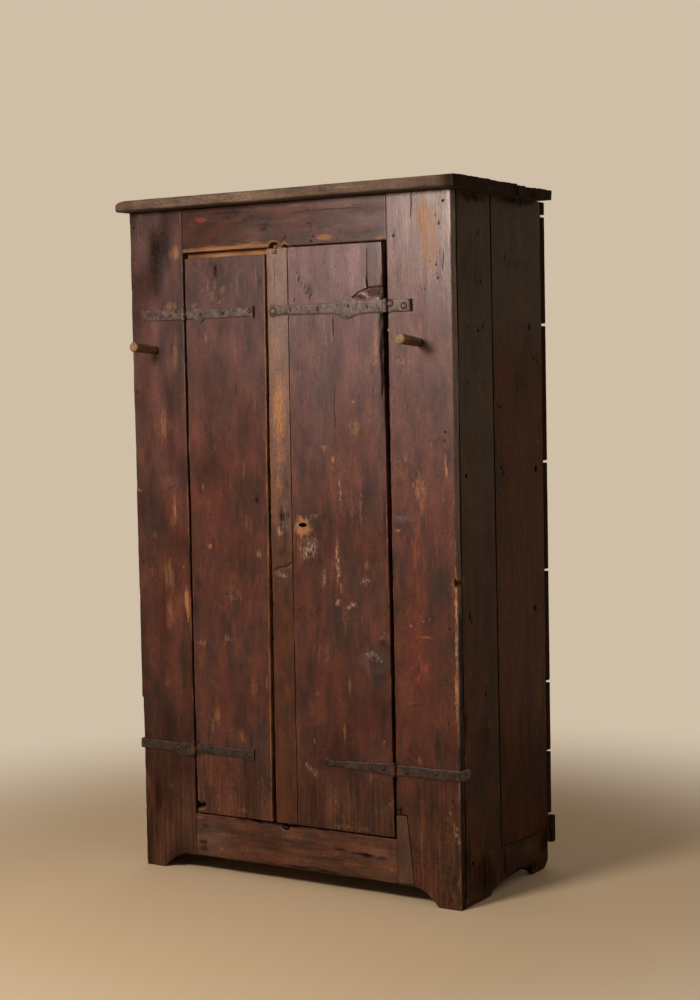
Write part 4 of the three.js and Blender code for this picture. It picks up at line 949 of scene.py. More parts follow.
opening = inner_right - inner_left
parting_bottom = inner_left + 0.3962 * opening
parting_top = inner_left + 0.4188 * opening
left_leaf = sawn_board("left_leaf_board", 2, 1, 1, seed=12,
                       cracks=[(-74, 1400, 1468, 0.8, 1.0)],
                       more_rows=np.arange(150, 182, 2.0))
lean_edges(left_leaf, left_leaf.columns[0], left_leaf.columns[0], parting_bottom, parting_top)
from_corner = near(left_leaf.flat_a + 285, 34)
bite = near(np.abs(left_leaf.l - 168), 9) ** 0.5 * from_corner
left_leaf.a += 16 * bite * from_corner
mouse_hole = in_spots(left_leaf, [(-272, 168, 13, 7, 1.0)], ragged=2.0)
left_leaf.t += mouse_hole * 10 * (left_leaf.flat_t < 8)
left_leaf.grime = strongest(
    # The broad darkening of the leaf, stronger at its foot, and the darkening of its top are partly dirt
    # and partly painted shade.
    (0.14 + 0.34 * mottling(left_leaf, 60, 110, 96))
    * np.clip((560 - left_leaf.l) / 300, 0.75, 1),
    mouse_hole * 1.2, left_leaf.crack * 0.6,
    0.36 * beyond(left_leaf.l - 1150, 260),
    0.62 * np.exp(-((left_leaf.flat_a + 196) / 42) ** 2 - ((left_leaf.l - 1466) / 44) ** 2)
    * (0.7 + 0.6 * mottling(left_leaf, 8, 34, 18)),
    in_spots(left_leaf, [
        (-225, 1450, 50, 60, 0.4), (-250, 1485, 30, 20, 0.35), (-84, 919, 4, 4, 1.1),
        (-62, 1436, 8, 24, 0.5), (-180, 1362, 100, 16, 0.28), (-285, 1360, 14, 16, 0.5),
        (-160, 1250, 50, 60, 0.18), (-285, 800, 6, 260, 0.3), (-170, 307, 90, 14, 0.3),
        (-272, 300, 16, 20, 0.45), (-240, 200, 30, 40, 0.35), (-230, 1240, 30, 90, 0.2),
        (-120, 700, 40, 80, 0.15)]))
left_leaf.worn = strongest(
    0.32 * beyond(460 - left_leaf.l, 260),
    in_spots(left_leaf, [
        (-175, 1417, 24, 16, 0.5), (-258, 1386, 14, 7, 0.55), (-228, 1306, 10, 26, 0.44),
        (-87, 1160, 9, 60, 0.44), (-227, 804, 10, 10, 1.0), (-79, 789, 9, 14, 0.85),
        (-203, 1040, 6, 14, 0.6), (-160, 964, 4, 40, 0.6), (-258, 568, 26, 13, 0.6),
        (-175, 583, 24, 9, 0.5), (-101, 470, 18, 44, 0.5), (-214, 396, 14, 32, 0.5),
        (-144, 350, 28, 26, 0.5), (-142, 165, 26, 9, 0.65), (-225, 162, 40, 6, 0.45),
        (-110, 860, 26, 40, 0.4), (-60, 480, 4, 26, 0.9), (-270, 158, 14, 4, 0.7),
        (-245, 952, 2.5, 10, 0.9), (-244, 941, 4, 4, 0.9), (-120, 990, 5, 40, 0.45),
        (-150, 690, 60, 50, 0.32), (-80, 1440, 20, 50, 0.32), (-285, 700, 4, 30, 0.8),
        (-230, 360, 8, 40, 0.42), (-250, 300, 20, 60, 0.3), (-130, 1280, 16, 40, 0.34)]),
    np.clip(1.4 - (left_leaf.columns[-1] - left_leaf.flat_a) / 4, 0, 1) * (left_leaf.flat_t < 20)
    * (0.35 + 0.6 * soft_noise(left_leaf.l / 45, 1, 19)),
    edge_wear(left_leaf, 0.75))
left_leaf.chalk = in_spots(left_leaf, [
    (-216, 1428, 3, 26, 0.7), (-208, 1410, 12, 3, 0.8), (-196, 1432, 3, 18, 0.7),
    (-204, 1400, 8, 8, 0.6), (-232, 1418, 5, 5, 0.6), (-180, 1392, 10, 4, 0.6),
    (-130, 1440, 4, 40, 0.45)], ragged=2.0)
left_leaf.blush = in_spots(left_leaf, [
    (-110, 1130, 40, 120, 0.7), (-200, 900, 60, 120, 0.6), (-180, 460, 90, 120, 0.55),
    (-90, 480, 30, 70, 0.6), (-240, 620, 50, 90, 0.5), (-150, 1010, 40, 80, 0.5),
    (-160, 240, 90, 60, 0.3)])
# The bloom of the old wax, with a painted sheen that rises towards the top and near the free edge.
left_leaf.haze = 0.75 * np.maximum(
    np.clip((left_leaf.l - 950) / 700, 0.04, 0.72),
    in_spots(left_leaf, [(-110, 1440, 60, 80, 0.8), (-200, 1300, 50, 50, 0.6)]))
make_board(left_leaf, "left_leaf_plank", "left_leaf", stained_pine)

# Right leaf: a narrow board, rubbed to its ochre wood by hands at the lock, and a wide one that
# still has its stain. They are held edge to edge by the ledges. The keyhole is a plain oval cut
# through the wide board, in a patch worn bare by the key.
leaf_gap = 0.4
narrow_low_bottom = parting_bottom + 11
narrow_low_top = parting_top + 4
seam_bottom = narrow_low_bottom + 62
seam_top = narrow_low_top + 60
narrow_board = sawn_board("right_leaf_narrow_board", 2, 1, 1, seed=14, arris=(3.0, 0.7),
                          cracks=[(-27, 1408, 1492, 1.0, 2.5)],
                          more_rows=np.arange(748, 780, 1.8))
lean_edges(narrow_board, narrow_low_bottom, narrow_low_top, seam_bottom, seam_top)
gouge = by_line(narrow_board, [(-46, 754), (-30, 760), (-8, 764), (10, 773)])
# Below the gouge, a pale line in the worn mark and a whitish band in the chalk mark are a painted
# highlight on its lip.
painted_lip_highlight = by_line(narrow_board, [(-40, 750), (-20, 756), (0, 760), (12, 767)])
narrow_board.t += near(gouge, 4) * 1.6 * (narrow_board.flat_t < 2)
narrow_board.chalk = in_spots(narrow_board, [
    (-8, 884, 16, 34, 0.5), (-20, 745, 26, 5, 0.8), (-26, 850, 10, 12, 0.7)], ragged=3.0)
l_chip = by_line(narrow_board, [(-34, 1496), (-22, 1496), (-23, 1504)])
narrow_board.t += near(l_chip, 3) * 2.5 * (narrow_board.flat_t < 2)
narrow_board.grime = strongest(
    near(gouge, 4) * 0.7, narrow_board.crack * 0.9, near(l_chip, 3.4),
    in_spots(narrow_board, [
        (-12, 884, 20, 26, 0.68), (0, 890, 9, 14, 0.6), (-24, 862, 8, 10, 0.5), (-15, 1031, 3, 3, 1.1),
        (2, 960, 10, 26, 0.4), (-20, 700, 30, 60, 0.3), (-20, 300, 30, 60, 0.3),
        (-25, 1360, 26, 20, 0.3), (-10, 620, 20, 60, 0.35), (-20, 800, 26, 20, 0.35)]),
    np.clip((850 - narrow_board.l) / 500, 0, 0.3),
    0.75 * near(narrow_board.columns[-1] - narrow_board.flat_a, 3))
narrow_board.worn = strongest(
    np.clip((narrow_board.l - 100) / 900, 0.35, 1) * np.clip((1650 - narrow_board.l) / 400, 0.5, 1)
    * in_spots(narrow_board, [
        (-20, 1130, 28, 120, 0.84), (-22, 1030, 24, 80, 0.58), (-24, 960, 20, 70, 0.5),
        (-20, 1280, 26, 70, 0.42), (-12, 1310, 12, 24, 0.45), (-25, 845, 14, 7, 0.7),
        (-28, 720, 20, 34, 0.5), (-12, 560, 7, 7, 0.8), (-3, 512, 8, 6, 0.7), (-30, 1262, 26, 3, 0.6),
        (8, 862, 4, 4, 1.0), (-20, 600, 20, 60, 0.34), (-36, 470, 12, 70, 0.4),
        (-10, 420, 14, 60, 0.36), (-26, 165, 26, 12, 0.6), (-18, 1500, 26, 7, 0.6),
        (-20, 1410, 20, 30, 0.36)]),
    near(painted_lip_highlight, 2.4) * 0.5,
    0.9 * near(narrow_board.flat_a - narrow_board.columns[0], 4) * (narrow_board.flat_t < 12),
    edge_wear(narrow_board, 0.85))
narrow_board.blush = in_spots(narrow_board, [(-20, 600, 40, 120, 0.5), (-20, 350, 40, 120, 0.4)])
# The bloom of the old wax, with a painted sheen that rises towards the top.
narrow_board.haze = 0.9 * np.clip((narrow_board.l - 800) / 500, 0.0, 0.95)
make_board(narrow_board, "right_leaf_narrow_plank", "right_leaf", worn_pine)

keyhole_middle = (seam_bottom + leaf_gap + 31.2, 863.0)
wide_board = sawn_board("right_leaf_wide_board", 2, 1, 1, seed=15, arris=(0.7, 2.2),
                        cracks=[(236, 1424, 1499, 1.2, 1.4), (138, 1296, 1345, 1.3, 3.0),
                                (138, 1082, 1192, 0.7, 1.0)],
                        more_rows=[*np.arange(845, 882, 2.0), *np.arange(1378, 1412, 2.0)])
lean_edges(wide_board, seam_bottom + leaf_gap, seam_top + leaf_gap, inner_right - 6, inner_right - 13)
break_out = in_spots(wide_board, [(256, 1394, 34, 11, 1.0), (214, 1386, 20, 6, 0.9)], ragged=2.0)
break_out = np.clip(break_out * 1.6, 0, 1)
splintered = 2.6 + 2.2 * mottling(wide_board, 30, 4, 93)
wide_board.t += break_out * splintered * (wide_board.flat_t < 8)
breaks_above = by_line(wide_board, [(192, 1386), (210, 1398), (240, 1408), (278, 1409)])
slits = in_spots(wide_board, [(233, 1428, 3, 5, 1.0), (234, 1412, 4, 5, 1.0)], ragged=1.0)
bored_places = [(24 + 56 * ((k * 0.618) % 1), 1382 + 72 * ((k * 0.379 + 0.1 * (k % 3)) % 1),
                 1.5 + 0.5 * (k % 3), 2.0 + 0.4 * (k % 2), 1.0) for k in range(30)]
bored = in_spots(wide_board, bored_places, ragged=0.8)
wide_board.t += (slits + bored * 0.5) * 2.0 * (wide_board.flat_t < 2)
wide_board.grime = strongest(
    (0.17 + 0.34 * mottling(wide_board, 60, 110, 95))
    * beyond(760 - wide_board.l, 300),
    np.clip(1.2 * mottling(wide_board, 46, 120, 98) - 0.55, 0, 0.24),
    near(breaks_above, 3.4), break_out * 0.62, slits, bored,
    np.clip(2.5 * wide_board.crack, 0, 1),
    in_spots(wide_board, [
        (70, 1408, 22, 26, 0.4), (236, 553, 40, 30, 0.5), (260, 600, 12, 30, 0.5),
        (64, 868, 16, 20, 0.42), (50, 820, 30, 26, 0.4), (72, 600, 50, 60, 0.2), (33, 668, 16, 10, 0.4),
        # The strips along the right edge, at 270 and 272 across, are partly dirt and partly painted
        # shadow of the gap beside the stile.
        (272, 1270, 11, 230, 0.85), (270, 900, 6, 200, 0.4), (50, 282, 28, 20, 0.5),
        (150, 307, 100, 14, 0.3), (110, 810, 30, 60, 0.3), (240, 200, 30, 40, 0.3),
        (72, 1300, 8, 40, 0.3), (140, 1362, 110, 14, 0.25), (235, 1420, 5, 20, 1.3),
        (100, 240, 60, 40, 0.2)]))
key_patch = in_spots(wide_board, [(43, 860, 31, 31, 1.4)], ragged=7.0)
scuff_places = [(24 + 60 * ((k * 0.618) % 1), 784 + 50 * ((k * 0.271 + 0.13 * (k % 2)) % 1),
                 2.5 + (k % 3), 2.5 + (k % 2), 0.9) for k in range(22)]
wide_board.worn = strongest(
    0.34 * beyond(460 - wide_board.l, 260),
    key_patch, in_spots(wide_board, scuff_places, ragged=2.0), break_out * 0.5,
    in_spots(wide_board, [
        (20, 1490, 26, 9, 0.5), (95, 1251, 5, 6, 0.9), (250, 1233, 4, 4, 1.1), (184, 1147, 16, 4, 0.7),
        (37, 1152, 3, 3, 1.1), (74, 1196, 5, 6, 0.7), (254, 1280, 14, 60, 0.5),
        (190, 1092, 40, 30, 0.44), (103, 1042, 18, 9, 0.55), (130, 1016, 7, 12, 0.55),
        (147, 950, 6, 44, 0.5), (138, 782, 7, 66, 0.6), (98, 745, 6, 26, 0.6), (138, 683, 9, 8, 0.8),
        (175, 680, 14, 7, 0.9), (147, 720, 10, 20, 0.5), (70, 468, 12, 16, 0.5), (147, 383, 8, 40, 0.7),
        (165, 490, 7, 50, 0.55), (27, 420, 6, 70, 0.42), (230, 380, 5, 4, 0.9), (255, 366, 3, 3, 1.0),
        (62, 352, 4, 9, 0.9), (160, 158, 100, 10, 0.66), (60, 160, 30, 7, 0.6), (188, 224, 3, 3, 0.9),
        (267, 226, 5, 6, 0.8), (216, 775, 9, 16, 0.45), (30, 670, 12, 4, 0.5), (120, 1290, 60, 50, 0.3),
        (200, 900, 40, 90, 0.3), (180, 640, 60, 60, 0.3), (90, 560, 40, 60, 0.32),
        (215, 300, 30, 60, 0.34), (110, 230, 60, 50, 0.32)]),
    edge_wear(wide_board, 0.8))
white_rubs = [
    [(212, 568), (232, 570), (258, 552)], [(218, 560), (240, 556)], [(226, 575), (246, 562)],
    [(262, 620), (274, 616)], [(36, 298), (62, 284)], [(40, 290), (72, 276)], [(52, 282), (66, 270)],
    [(164, 676), (186, 683)], [(132, 682), (142, 689)], [(252, 610), (270, 606)]]
rubs = np.minimum.reduce([by_line(wide_board, line) for line in white_rubs])
scuffs = in_spots(wide_board, [
    (58, 812, 24, 22, 0.9), (50, 796, 16, 12, 0.7), (70, 884, 14, 8, 0.6), (24, 864, 5, 7, 0.8),
    (138, 782, 6, 60, 0.45), (147, 940, 5, 40, 0.4), (98, 745, 8, 24, 0.4),
    (212, 738, 16, 12, 0.35)], ragged=3.0)
wide_board.chalk = np.maximum(np.clip(1.3 - rubs / 2.6, 0, 1), scuffs)
wide_board.blush = break_out * 0.8 + in_spots(wide_board, [
    (180, 1080, 70, 90, 0.7), (190, 860, 70, 120, 0.5), (120, 480, 90, 120, 0.6),
    (216, 770, 24, 40, 0.4), (90, 1150, 60, 120, 0.5), (200, 400, 70, 100, 0.5),
    (60, 700, 40, 80, 0.4)])
# The bloom of the old wax, with a painted sheen that rises towards the top and is strongest near it.
wide_board.haze = 0.85 * strongest(
    np.clip((wide_board.l - 820) / 640, 0.05, 1.0),
    in_spots(wide_board, [(180, 1440, 80, 60, 1.2), (230, 553, 50, 30, 0.6), (60, 1030, 40, 30, 0.5)]))
wide_plank = make_board(wide_board, "right_leaf_wide_plank", "right_leaf", stained_pine)
cut_hole(wide_plank, (keyhole_middle[0] - 11.5, -6, keyhole_middle[1] - 5),
         (keyhole_middle[0] + 11.5, 30, keyhole_middle[1] + 5), sides=20)

# Ledges: two battens across the back of each leaf, nailed through from the front, bare pine.
for hand in ("left", "right"):
    for level, seed in (("upper", 90), ("lower", 91)):
        node = f"{hand}_leaf_ledge_{level}"
        ledge = sawn_board(node, 0, 1, -1, (4.0, 8.0), seed + (hand == "left") * 4, arris=4.0,
                           hidden_step=16)
        ledge.worn = edge_wear(ledge, 0.6, 5.0)
        ledge.grime = 0.4 * soft_noise(ledge.l / 60, ledge.flat_a / 30, seed)
        make_board(ledge, f"{node}_batten", f"{hand}_leaf", raw_pine)


# Strap hinges. A smith drew each strap and frame plate out of wrought iron about 3 mm thick, with
# flattened bosses and flared or pointed ends, and rolled the knuckles round a headed pin. The
# iron is hammered uneven, black-brown from the fire and wax, and rusty round the lower knuckles.
def iron_finish(name, dark, light, rust, rust_share, roughness=(0.34, 0.55), hammer=11.0):
    """Forged wrought iron with hammer marks 11 mm wide. Its forge scale and wax are hardly metallic."""
    material, tree = new_material(name)
    place = add(tree, "ShaderNodeTexCoord").outputs["Object"]
    forge_scale, pits = (
        add(tree, "ShaderNodeTexNoise",
            {"Vector": place, "Scale": size, "Detail": detail, "Roughness": unevenness})
        for size, detail, unevenness in ((70.0, 5.0, 0.65), (420.0, 3.0, 0.7)))
    dents = add(tree, "ShaderNodeTexVoronoi",
                {"Vector": place, "Scale": 1000 / hammer, "Smoothness": 0.7}, feature="SMOOTH_F1")
    tone = add(tree, "ShaderNodeMath", {0: pits, 1: 0.45, 2: 0.0}, operation="MULTIPLY_ADD")
    tone = add(tree, "ShaderNodeMath", {0: forge_scale, 1: 0.75, 2: tone}, operation="MULTIPLY_ADD")
    tone = add(tree, "ShaderNodeMapRange", {0: tone, 1: 0.42, 2: 0.8, 3: 0.0, 4: 1.0})
    rust_mark = add(tree, "ShaderNodeAttribute", attribute_name="rust").outputs["Fac"]
    rusty = add(tree, "ShaderNodeMath", {0: forge_scale, 1: 1.6, 2: rust_share - 1.25},
                operation="MULTIPLY_ADD")
    rusty = add(tree, "ShaderNodeMath", {0: rusty, 1: rust_mark}, operation="ADD", use_clamp=True)
    surface = colour(dark)
    for share, shade in ((tone, light), (rusty, rust)):
        surface = add(tree, "ShaderNodeMix", {0: share, 6: surface, 7: colour(shade)},
                      data_type="RGBA").outputs[2]
    gloss = add(tree, "ShaderNodeMapRange",
                {0: forge_scale, 1: 0.3, 2: 0.7, 3: roughness[0], 4: roughness[1]})
    gloss = add(tree, "ShaderNodeMath", {0: rusty, 1: 0.25, 2: gloss}, operation="MULTIPLY_ADD",
                use_clamp=True)
    metal = add(tree, "ShaderNodeMapRange", {0: rusty, 1: 0.0, 2: 1.0, 3: 0.35, 4: 0.0})
    height = add(tree, "ShaderNodeMath", {0: dents, 1: 0.8, 2: 0.0}, operation="MULTIPLY_ADD")
    height = add(tree, "ShaderNodeMath", {0: pits, 1: 0.5, 2: height}, operation="MULTIPLY_ADD")
    bump = add(tree, "ShaderNodeBump", {"Strength": 0.75, "Distance": 0.0012, "Height": height})
    shader = add(tree, "ShaderNodeBsdfPrincipled",
                 {"Base Color": surface, "Roughness": gloss, "Metallic": metal, "Normal": bump})
    add(tree, "ShaderNodeOutputMaterial", {0: shader})
    return material


forged_iron = iron_finish("forged_iron_browned", "#231a18", "#6a5652", "#5c3226", 0.34)
rusty_iron = iron_finish("forged_iron_rusted", "#1b1210", "#463530", "#582b1c", 0.5)


plate_thickness = 3.0
sheet_middle = -0.3 - plate_thickness / 2
knuckle_middle = -6.3
knuckle_bend = 4.5
standoff = 8.0


def forged_sheet(stations, seed, edge_wobble=0.7):
    """A closed strip of iron. A station is x, y, the way its face looks, its low and high z."""
    stations = np.array(stations, float)
    shares = np.array([0, 0.05, 0.14, 0.28, 0.42, 0.58, 0.72, 0.86, 0.95, 1.0])
    crown = np.array([0.35, 0.8, 0.96, 1, 1, 1, 1, 0.96, 0.8, 0.35])
    way = stations[:, 2:4]
    along = np.concatenate([[0], np.cumsum(np.hypot(*np.diff(stations[:, :2], axis=0).T))])
    low = stations[:, 4] + edge_wobble * (soft_noise(along / 9, 1, seed) - 0.5)
    high = stations[:, 5] + edge_wobble * (soft_noise(along / 9, 7, seed + 1) - 0.5)
    z = low[:, None] + (high - low)[:, None] * shares[None, :]
    beat = 0.55 * (soft_noise(along[:, None] / 8, z / 8, seed + 2) - 0.55)
    lift = plate_thickness / 2 * crown[None, :] + beat
    front = stations[:, None, :2] + way[:, None, :] * lift[..., None]
    sunk = np.full((len(stations), len(shares)), -plate_thickness / 2)
    back = stations[:, None, :2] + way[:, None, :] * sunk[..., None]
    front = np.concatenate([front, z[..., None]], axis=2)
    back = np.concatenate([back, z[..., None]], axis=2)
    ring = np.concatenate([front, back[:, ::-1]], axis=1)
    count, size = ring.shape[:2]
    index = np.arange(count * size).reshape(count, size)
    after = np.roll(index, -1, axis=1)
    faces = np.stack([index[:-1], after[:-1], after[1:], index[1:]], axis=-1).reshape(-1, 4).tolist()
    half = len(shares)
    for row, flip in ((0, True), (count - 1, False)):
        for k in range(half - 1):
            cap = [row * size + k, row * size + k + 1,
                   row * size + 2 * half - 2 - k, row * size + 2 * half - 1 - k]
            faces.append(cap[::-1] if flip else cap)
    return ring.reshape(-1, 3), faces, np.repeat(along, size)


def band_stations(axis_x, z, way, length, height, shares, curl=0.0, step=2.0):
    """Stations of a band from its standoff to its end; shares of length, above and below."""
    shares = np.array(shares)
    place = np.linspace(0, 1, int((length - standoff) / step) + 1)
    place = np.unique(np.concatenate([place, shares[:, 0], [0.985]]))
    above = np.interp(place, shares[:, 0], shares[:, 1]) * height
    below = np.interp(place, shares[:, 0], shares[:, 2]) * height
    x = axis_x + way * (standoff + (length - standoff) * place)
    lift = curl * near((length - standoff) * (1 - place), 7) ** 2
    return [(px, sheet_middle - up, 0, -1, z - b, z + a)
            for px, up, a, b in zip(x, lift, above, below)]


def knuckle_stations(axis_x, way, low, high):
    """Stations of a tongue that comes off the band and rolls round the pin."""
    stations = [(axis_x + way * (standoff + 3 - d), sheet_middle, 0, -1, low, high)
                for d in (0, 4, 8)]
    for degrees in range(0, 301, 12):
        turn = math.radians(degrees)
        out = (-way * math.sin(turn), math.cos(turn))
        stations.append((axis_x + knuckle_bend * out[0], knuckle_middle + knuckle_bend * out[1],
                         -out[0], -out[1], low, high))
    return stations


def smooth_over(mesh, degrees):
    """Shades a mesh smooth, but for edges sharper than an angle."""
    mesh.polygons.foreach_set("use_smooth", np.ones(len(mesh.polygons), bool))
    mesh.set_sharp_from_angle(angle=math.radians(degrees))


def iron_piece(name, sheets, body, material, node, rust_places):
    """Joins sheets of iron into one piece, with rust near the given places."""
    points, faces, base = [], [], 0
    for corners, sheet_faces, _ in sheets:
        points.append(corners)
        faces += [[corner + base for corner in face] for face in sheet_faces]
        base += len(corners)
    points = np.concatenate(points)
    mesh = bpy.data.meshes.new(name)
    mesh.from_pydata((points / 1000 + front_middle).tolist(), [], faces)
    face_outward(mesh)
    smooth_over(mesh, 50)
    rust = np.zeros(len(points))
    for x, z, radius, strength in rust_places:
        away = np.hypot(points[:, 0] - x, points[:, 2] - z) / radius
        rust = np.maximum(rust, strength * np.clip(1.3 - away, 0, 1))
    set_marks(mesh, rust=rust)
    place_piece(name, mesh, material, body, node)


low_boss = [
    (0, 0.5, 0.5), (0.12, 0.5, 0.5), (0.17, 0.5, 0.8), (0.2, 0.5, 0.87), (0.23, 0.48, 0.7),
    (0.27, 0.45, 0.5), (0.6, 0.44, 0.47), (0.93, 0.45, 0.45), (0.955, 0.5, 0.5), (0.965, 0.6, 0.6),
    (1, 0.58, 0.56)]
full_boss = [
    (0, 0.58, 0.56), (0.1, 0.56, 0.55), (0.2, 0.6, 0.6), (0.25, 0.7, 0.74), (0.275, 0.92, 0.86),
    (0.3, 1.0, 0.98), (0.33, 0.96, 1.0), (0.355, 0.74, 0.86), (0.385, 0.56, 0.6), (0.43, 0.47, 0.48),
    (0.7, 0.45, 0.44), (0.93, 0.41, 0.42), (0.95, 0.5, 0.5), (0.97, 0.58, 0.56), (0.985, 0.52, 0.52),
    (1, 0.3, 0.3)]
flared_band = [
    (0, 0.48, 0.47), (0.3, 0.44, 0.46), (0.6, 0.44, 0.44), (0.84, 0.43, 0.45), (0.9, 0.48, 0.54),
    (0.95, 0.58, 0.68), (0.985, 0.6, 0.7), (1, 0.5, 0.6)]
tapered_tail = [
    (0, 0.5, 0.5), (0.3, 0.44, 0.42), (0.6, 0.34, 0.34), (0.88, 0.24, 0.23), (0.91, 0.3, 0.3),
    (0.945, 0.36, 0.34), (0.975, 0.3, 0.28), (1, 0.14, 0.14)]
cranked_plate = [
    (0, 0.5, 0.8), (0.1, 0.52, 0.88), (0.2, 0.5, 0.82), (0.28, 0.45, 0.6), (0.36, 0.42, 0.46),
    (0.7, 0.46, 0.44), (1, 0.46, 0.46)]
plain_band = [
    (0, 0.46, 0.5), (0.25, 0.5, 0.48), (0.6, 0.47, 0.5), (0.9, 0.5, 0.47), (1, 0.5, 0.5)]

knuckle_half = 14
strap_knuckle_half = 5
plate_knuckle_start = 5.4
hinges = [
    ("upper_left", "left_leaf", 1, 24, low_boss, 25, plain_band, 3.0, 0.0, 0.15),
    ("upper_right", "right_leaf", -1, 26, full_boss, 29, plain_band, 0.0, 3.5, 0.1),
    ("lower_left", "left_leaf", 1, 24, flared_band, 25, cranked_plate, 0.0, 0.0, 0.75),
    ("lower_right", "right_leaf", -1, 26, tapered_tail, 25, plain_band, 0.0, 0.0, 0.95)]
for (place_name, leaf, way, strap_height, strap_shape, plate_height, plate_shape, strap_curl,
     plate_curl, knuckle_rust) in hinges:
    pin_low, pin_high = own_box(f"hinge_pin_{place_name}")
    axis_x = (pin_low[0] + pin_high[0]) / 2
    hinge_z = pin_low[2] + knuckle_half
    strap_low, strap_high = own_box(f"strap_{place_name}")
    plate_low, plate_high = own_box(f"hinge_plate_{place_name}")
    strap_length = (strap_high[0] - axis_x) if way > 0 else (axis_x - strap_low[0])
    plate_length = (axis_x - plate_low[0]) if way > 0 else (plate_high[0] - axis_x)
    rust_at = [(axis_x, hinge_z, 12, knuckle_rust),
               (axis_x - way * 12, hinge_z - 6, 10, knuckle_rust * 0.8)]
    seed = 200 + len(place_name) * 7 + (way > 0) * 3

    strap_sheets = [
        forged_sheet(band_stations(axis_x, hinge_z, way, strap_length, strap_height, strap_shape,
                                   strap_curl), seed),
        forged_sheet(knuckle_stations(axis_x, way, hinge_z - strap_knuckle_half,
                                      hinge_z + strap_knuckle_half), seed + 1, 0.0)]
    iron = forged_iron if place_name.startswith("upper") else rusty_iron
    iron_piece(f"forged_strap_{place_name}", strap_sheets, leaf, iron, f"strap_{place_name}", rust_at)

    plate_stations = band_stations(axis_x, hinge_z, -way, plate_length, plate_height, plate_shape,
                                   plate_curl)
    if place_name.startswith("lower"):
        # The lower plates are bent round the corner of the cupboard on to its side.
        corner_radius = 2.0
        last = plate_stations[-1]
        corner_x = last[0] + way * 0.5
        bent = [(x, y, nx, ny, lo, hi) for x, y, nx, ny, lo, hi in plate_stations
                if abs(x - corner_x) > 3.2]
        for degrees in range(0, 91, 15):
            turn = math.radians(degrees)
            bent.append((corner_x + way * (corner_radius + 1.0 - corner_radius * math.sin(turn)),
                         sheet_middle + corner_radius - corner_radius * math.cos(turn),
                         -way * math.sin(turn), -math.cos(turn), last[4], last[5]))
        for step in range(1, 23):
            shrink = 3.0 * max(0, step - 19)
            bent.append((corner_x + way, sheet_middle + corner_radius + step * 2.1, -way, 0.0,
                         last[4] + shrink, last[5] - shrink))
        plate_stations = bent
    plate_sheets = [
        forged_sheet(plate_stations, seed + 2),
        forged_sheet(knuckle_stations(axis_x, -way, hinge_z - knuckle_half,
                                      hinge_z - plate_knuckle_start), seed + 3, 0.0),
        forged_sheet(knuckle_stations(axis_x, -way, hinge_z + plate_knuckle_start,
                                      hinge_z + knuckle_half), seed + 4, 0.0)]
    iron_piece(f"forged_plate_{place_name}", plate_sheets, "carcass", iron,
               f"hinge_plate_{place_name}", rust_at)


def softened(node, name, width, material, body, rust):
    """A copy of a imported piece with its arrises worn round."""
    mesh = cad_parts[node].data.copy()
    shape = bmesh.new()
    shape.from_mesh(mesh)
    bmesh.ops.remove_doubles(shape, verts=shape.verts, dist=0.00002)
    bmesh.ops.dissolve_limit(shape, angle_limit=math.radians(2), verts=shape.verts, edges=shape.edges)
    bmesh.ops.recalc_face_normals(shape, faces=shape.faces)
    shape.to_mesh(mesh)
    shape.free()
    worn = modified(mesh, "BEVEL", width=width / 1000, segments=3, limit_method="ANGLE",
                    angle_limit=math.radians(28), use_clamp_overlap=True)
    worn.name = name
    worn.materials.clear()
    smooth_over(worn, 40)
    set_marks(worn, rust=np.full(len(worn.vertices), rust))
    place_piece(name, worn, material, body, node)


# Hinge pins: short lengths of iron rod with a hammered head that rests on the upper knuckle.
pin_rust = {"upper_left": 0.1, "upper_right": 0.1, "lower_left": 0.7, "lower_right": 0.8}
for place_name, rust in pin_rust.items():
    softened(f"hinge_pin_{place_name}", f"headed_pin_{place_name}", 0.8, forged_iron,
             "carcass", rust)

# Lock. A plain iron case is nailed to the back of the right leaf, and its bolt slides into a
# bridge-shaped keeper on the left leaf. The iron is blacker than the straps.
lock_iron = iron_finish("black_lock_iron", "#231f1d", "#5a524c", "#553022", 0.3, (0.38, 0.6), 14.0)
softened("lock_case", "lock_case_plate", 1.0, lock_iron, "right_leaf", 0.15)
softened("lock_bolt", "lock_sliding_bolt", 0.8, lock_iron, "lock_bolt", 0.0)
softened("lock_keeper", "lock_keeper_bridge", 0.7, lock_iron, "left_leaf", 0.2)

# Shooting bolt: a square iron rod in two staples on a small plate, at the top of the left leaf.
softened("shoot_bolt_plate", "shoot_bolt_staple_plate", 0.5, lock_iron, "left_leaf", 0.15)
softened("shoot_bolt", "shoot_bolt_rod", 0.7, lock_iron, "shoot_bolt", 0.1)


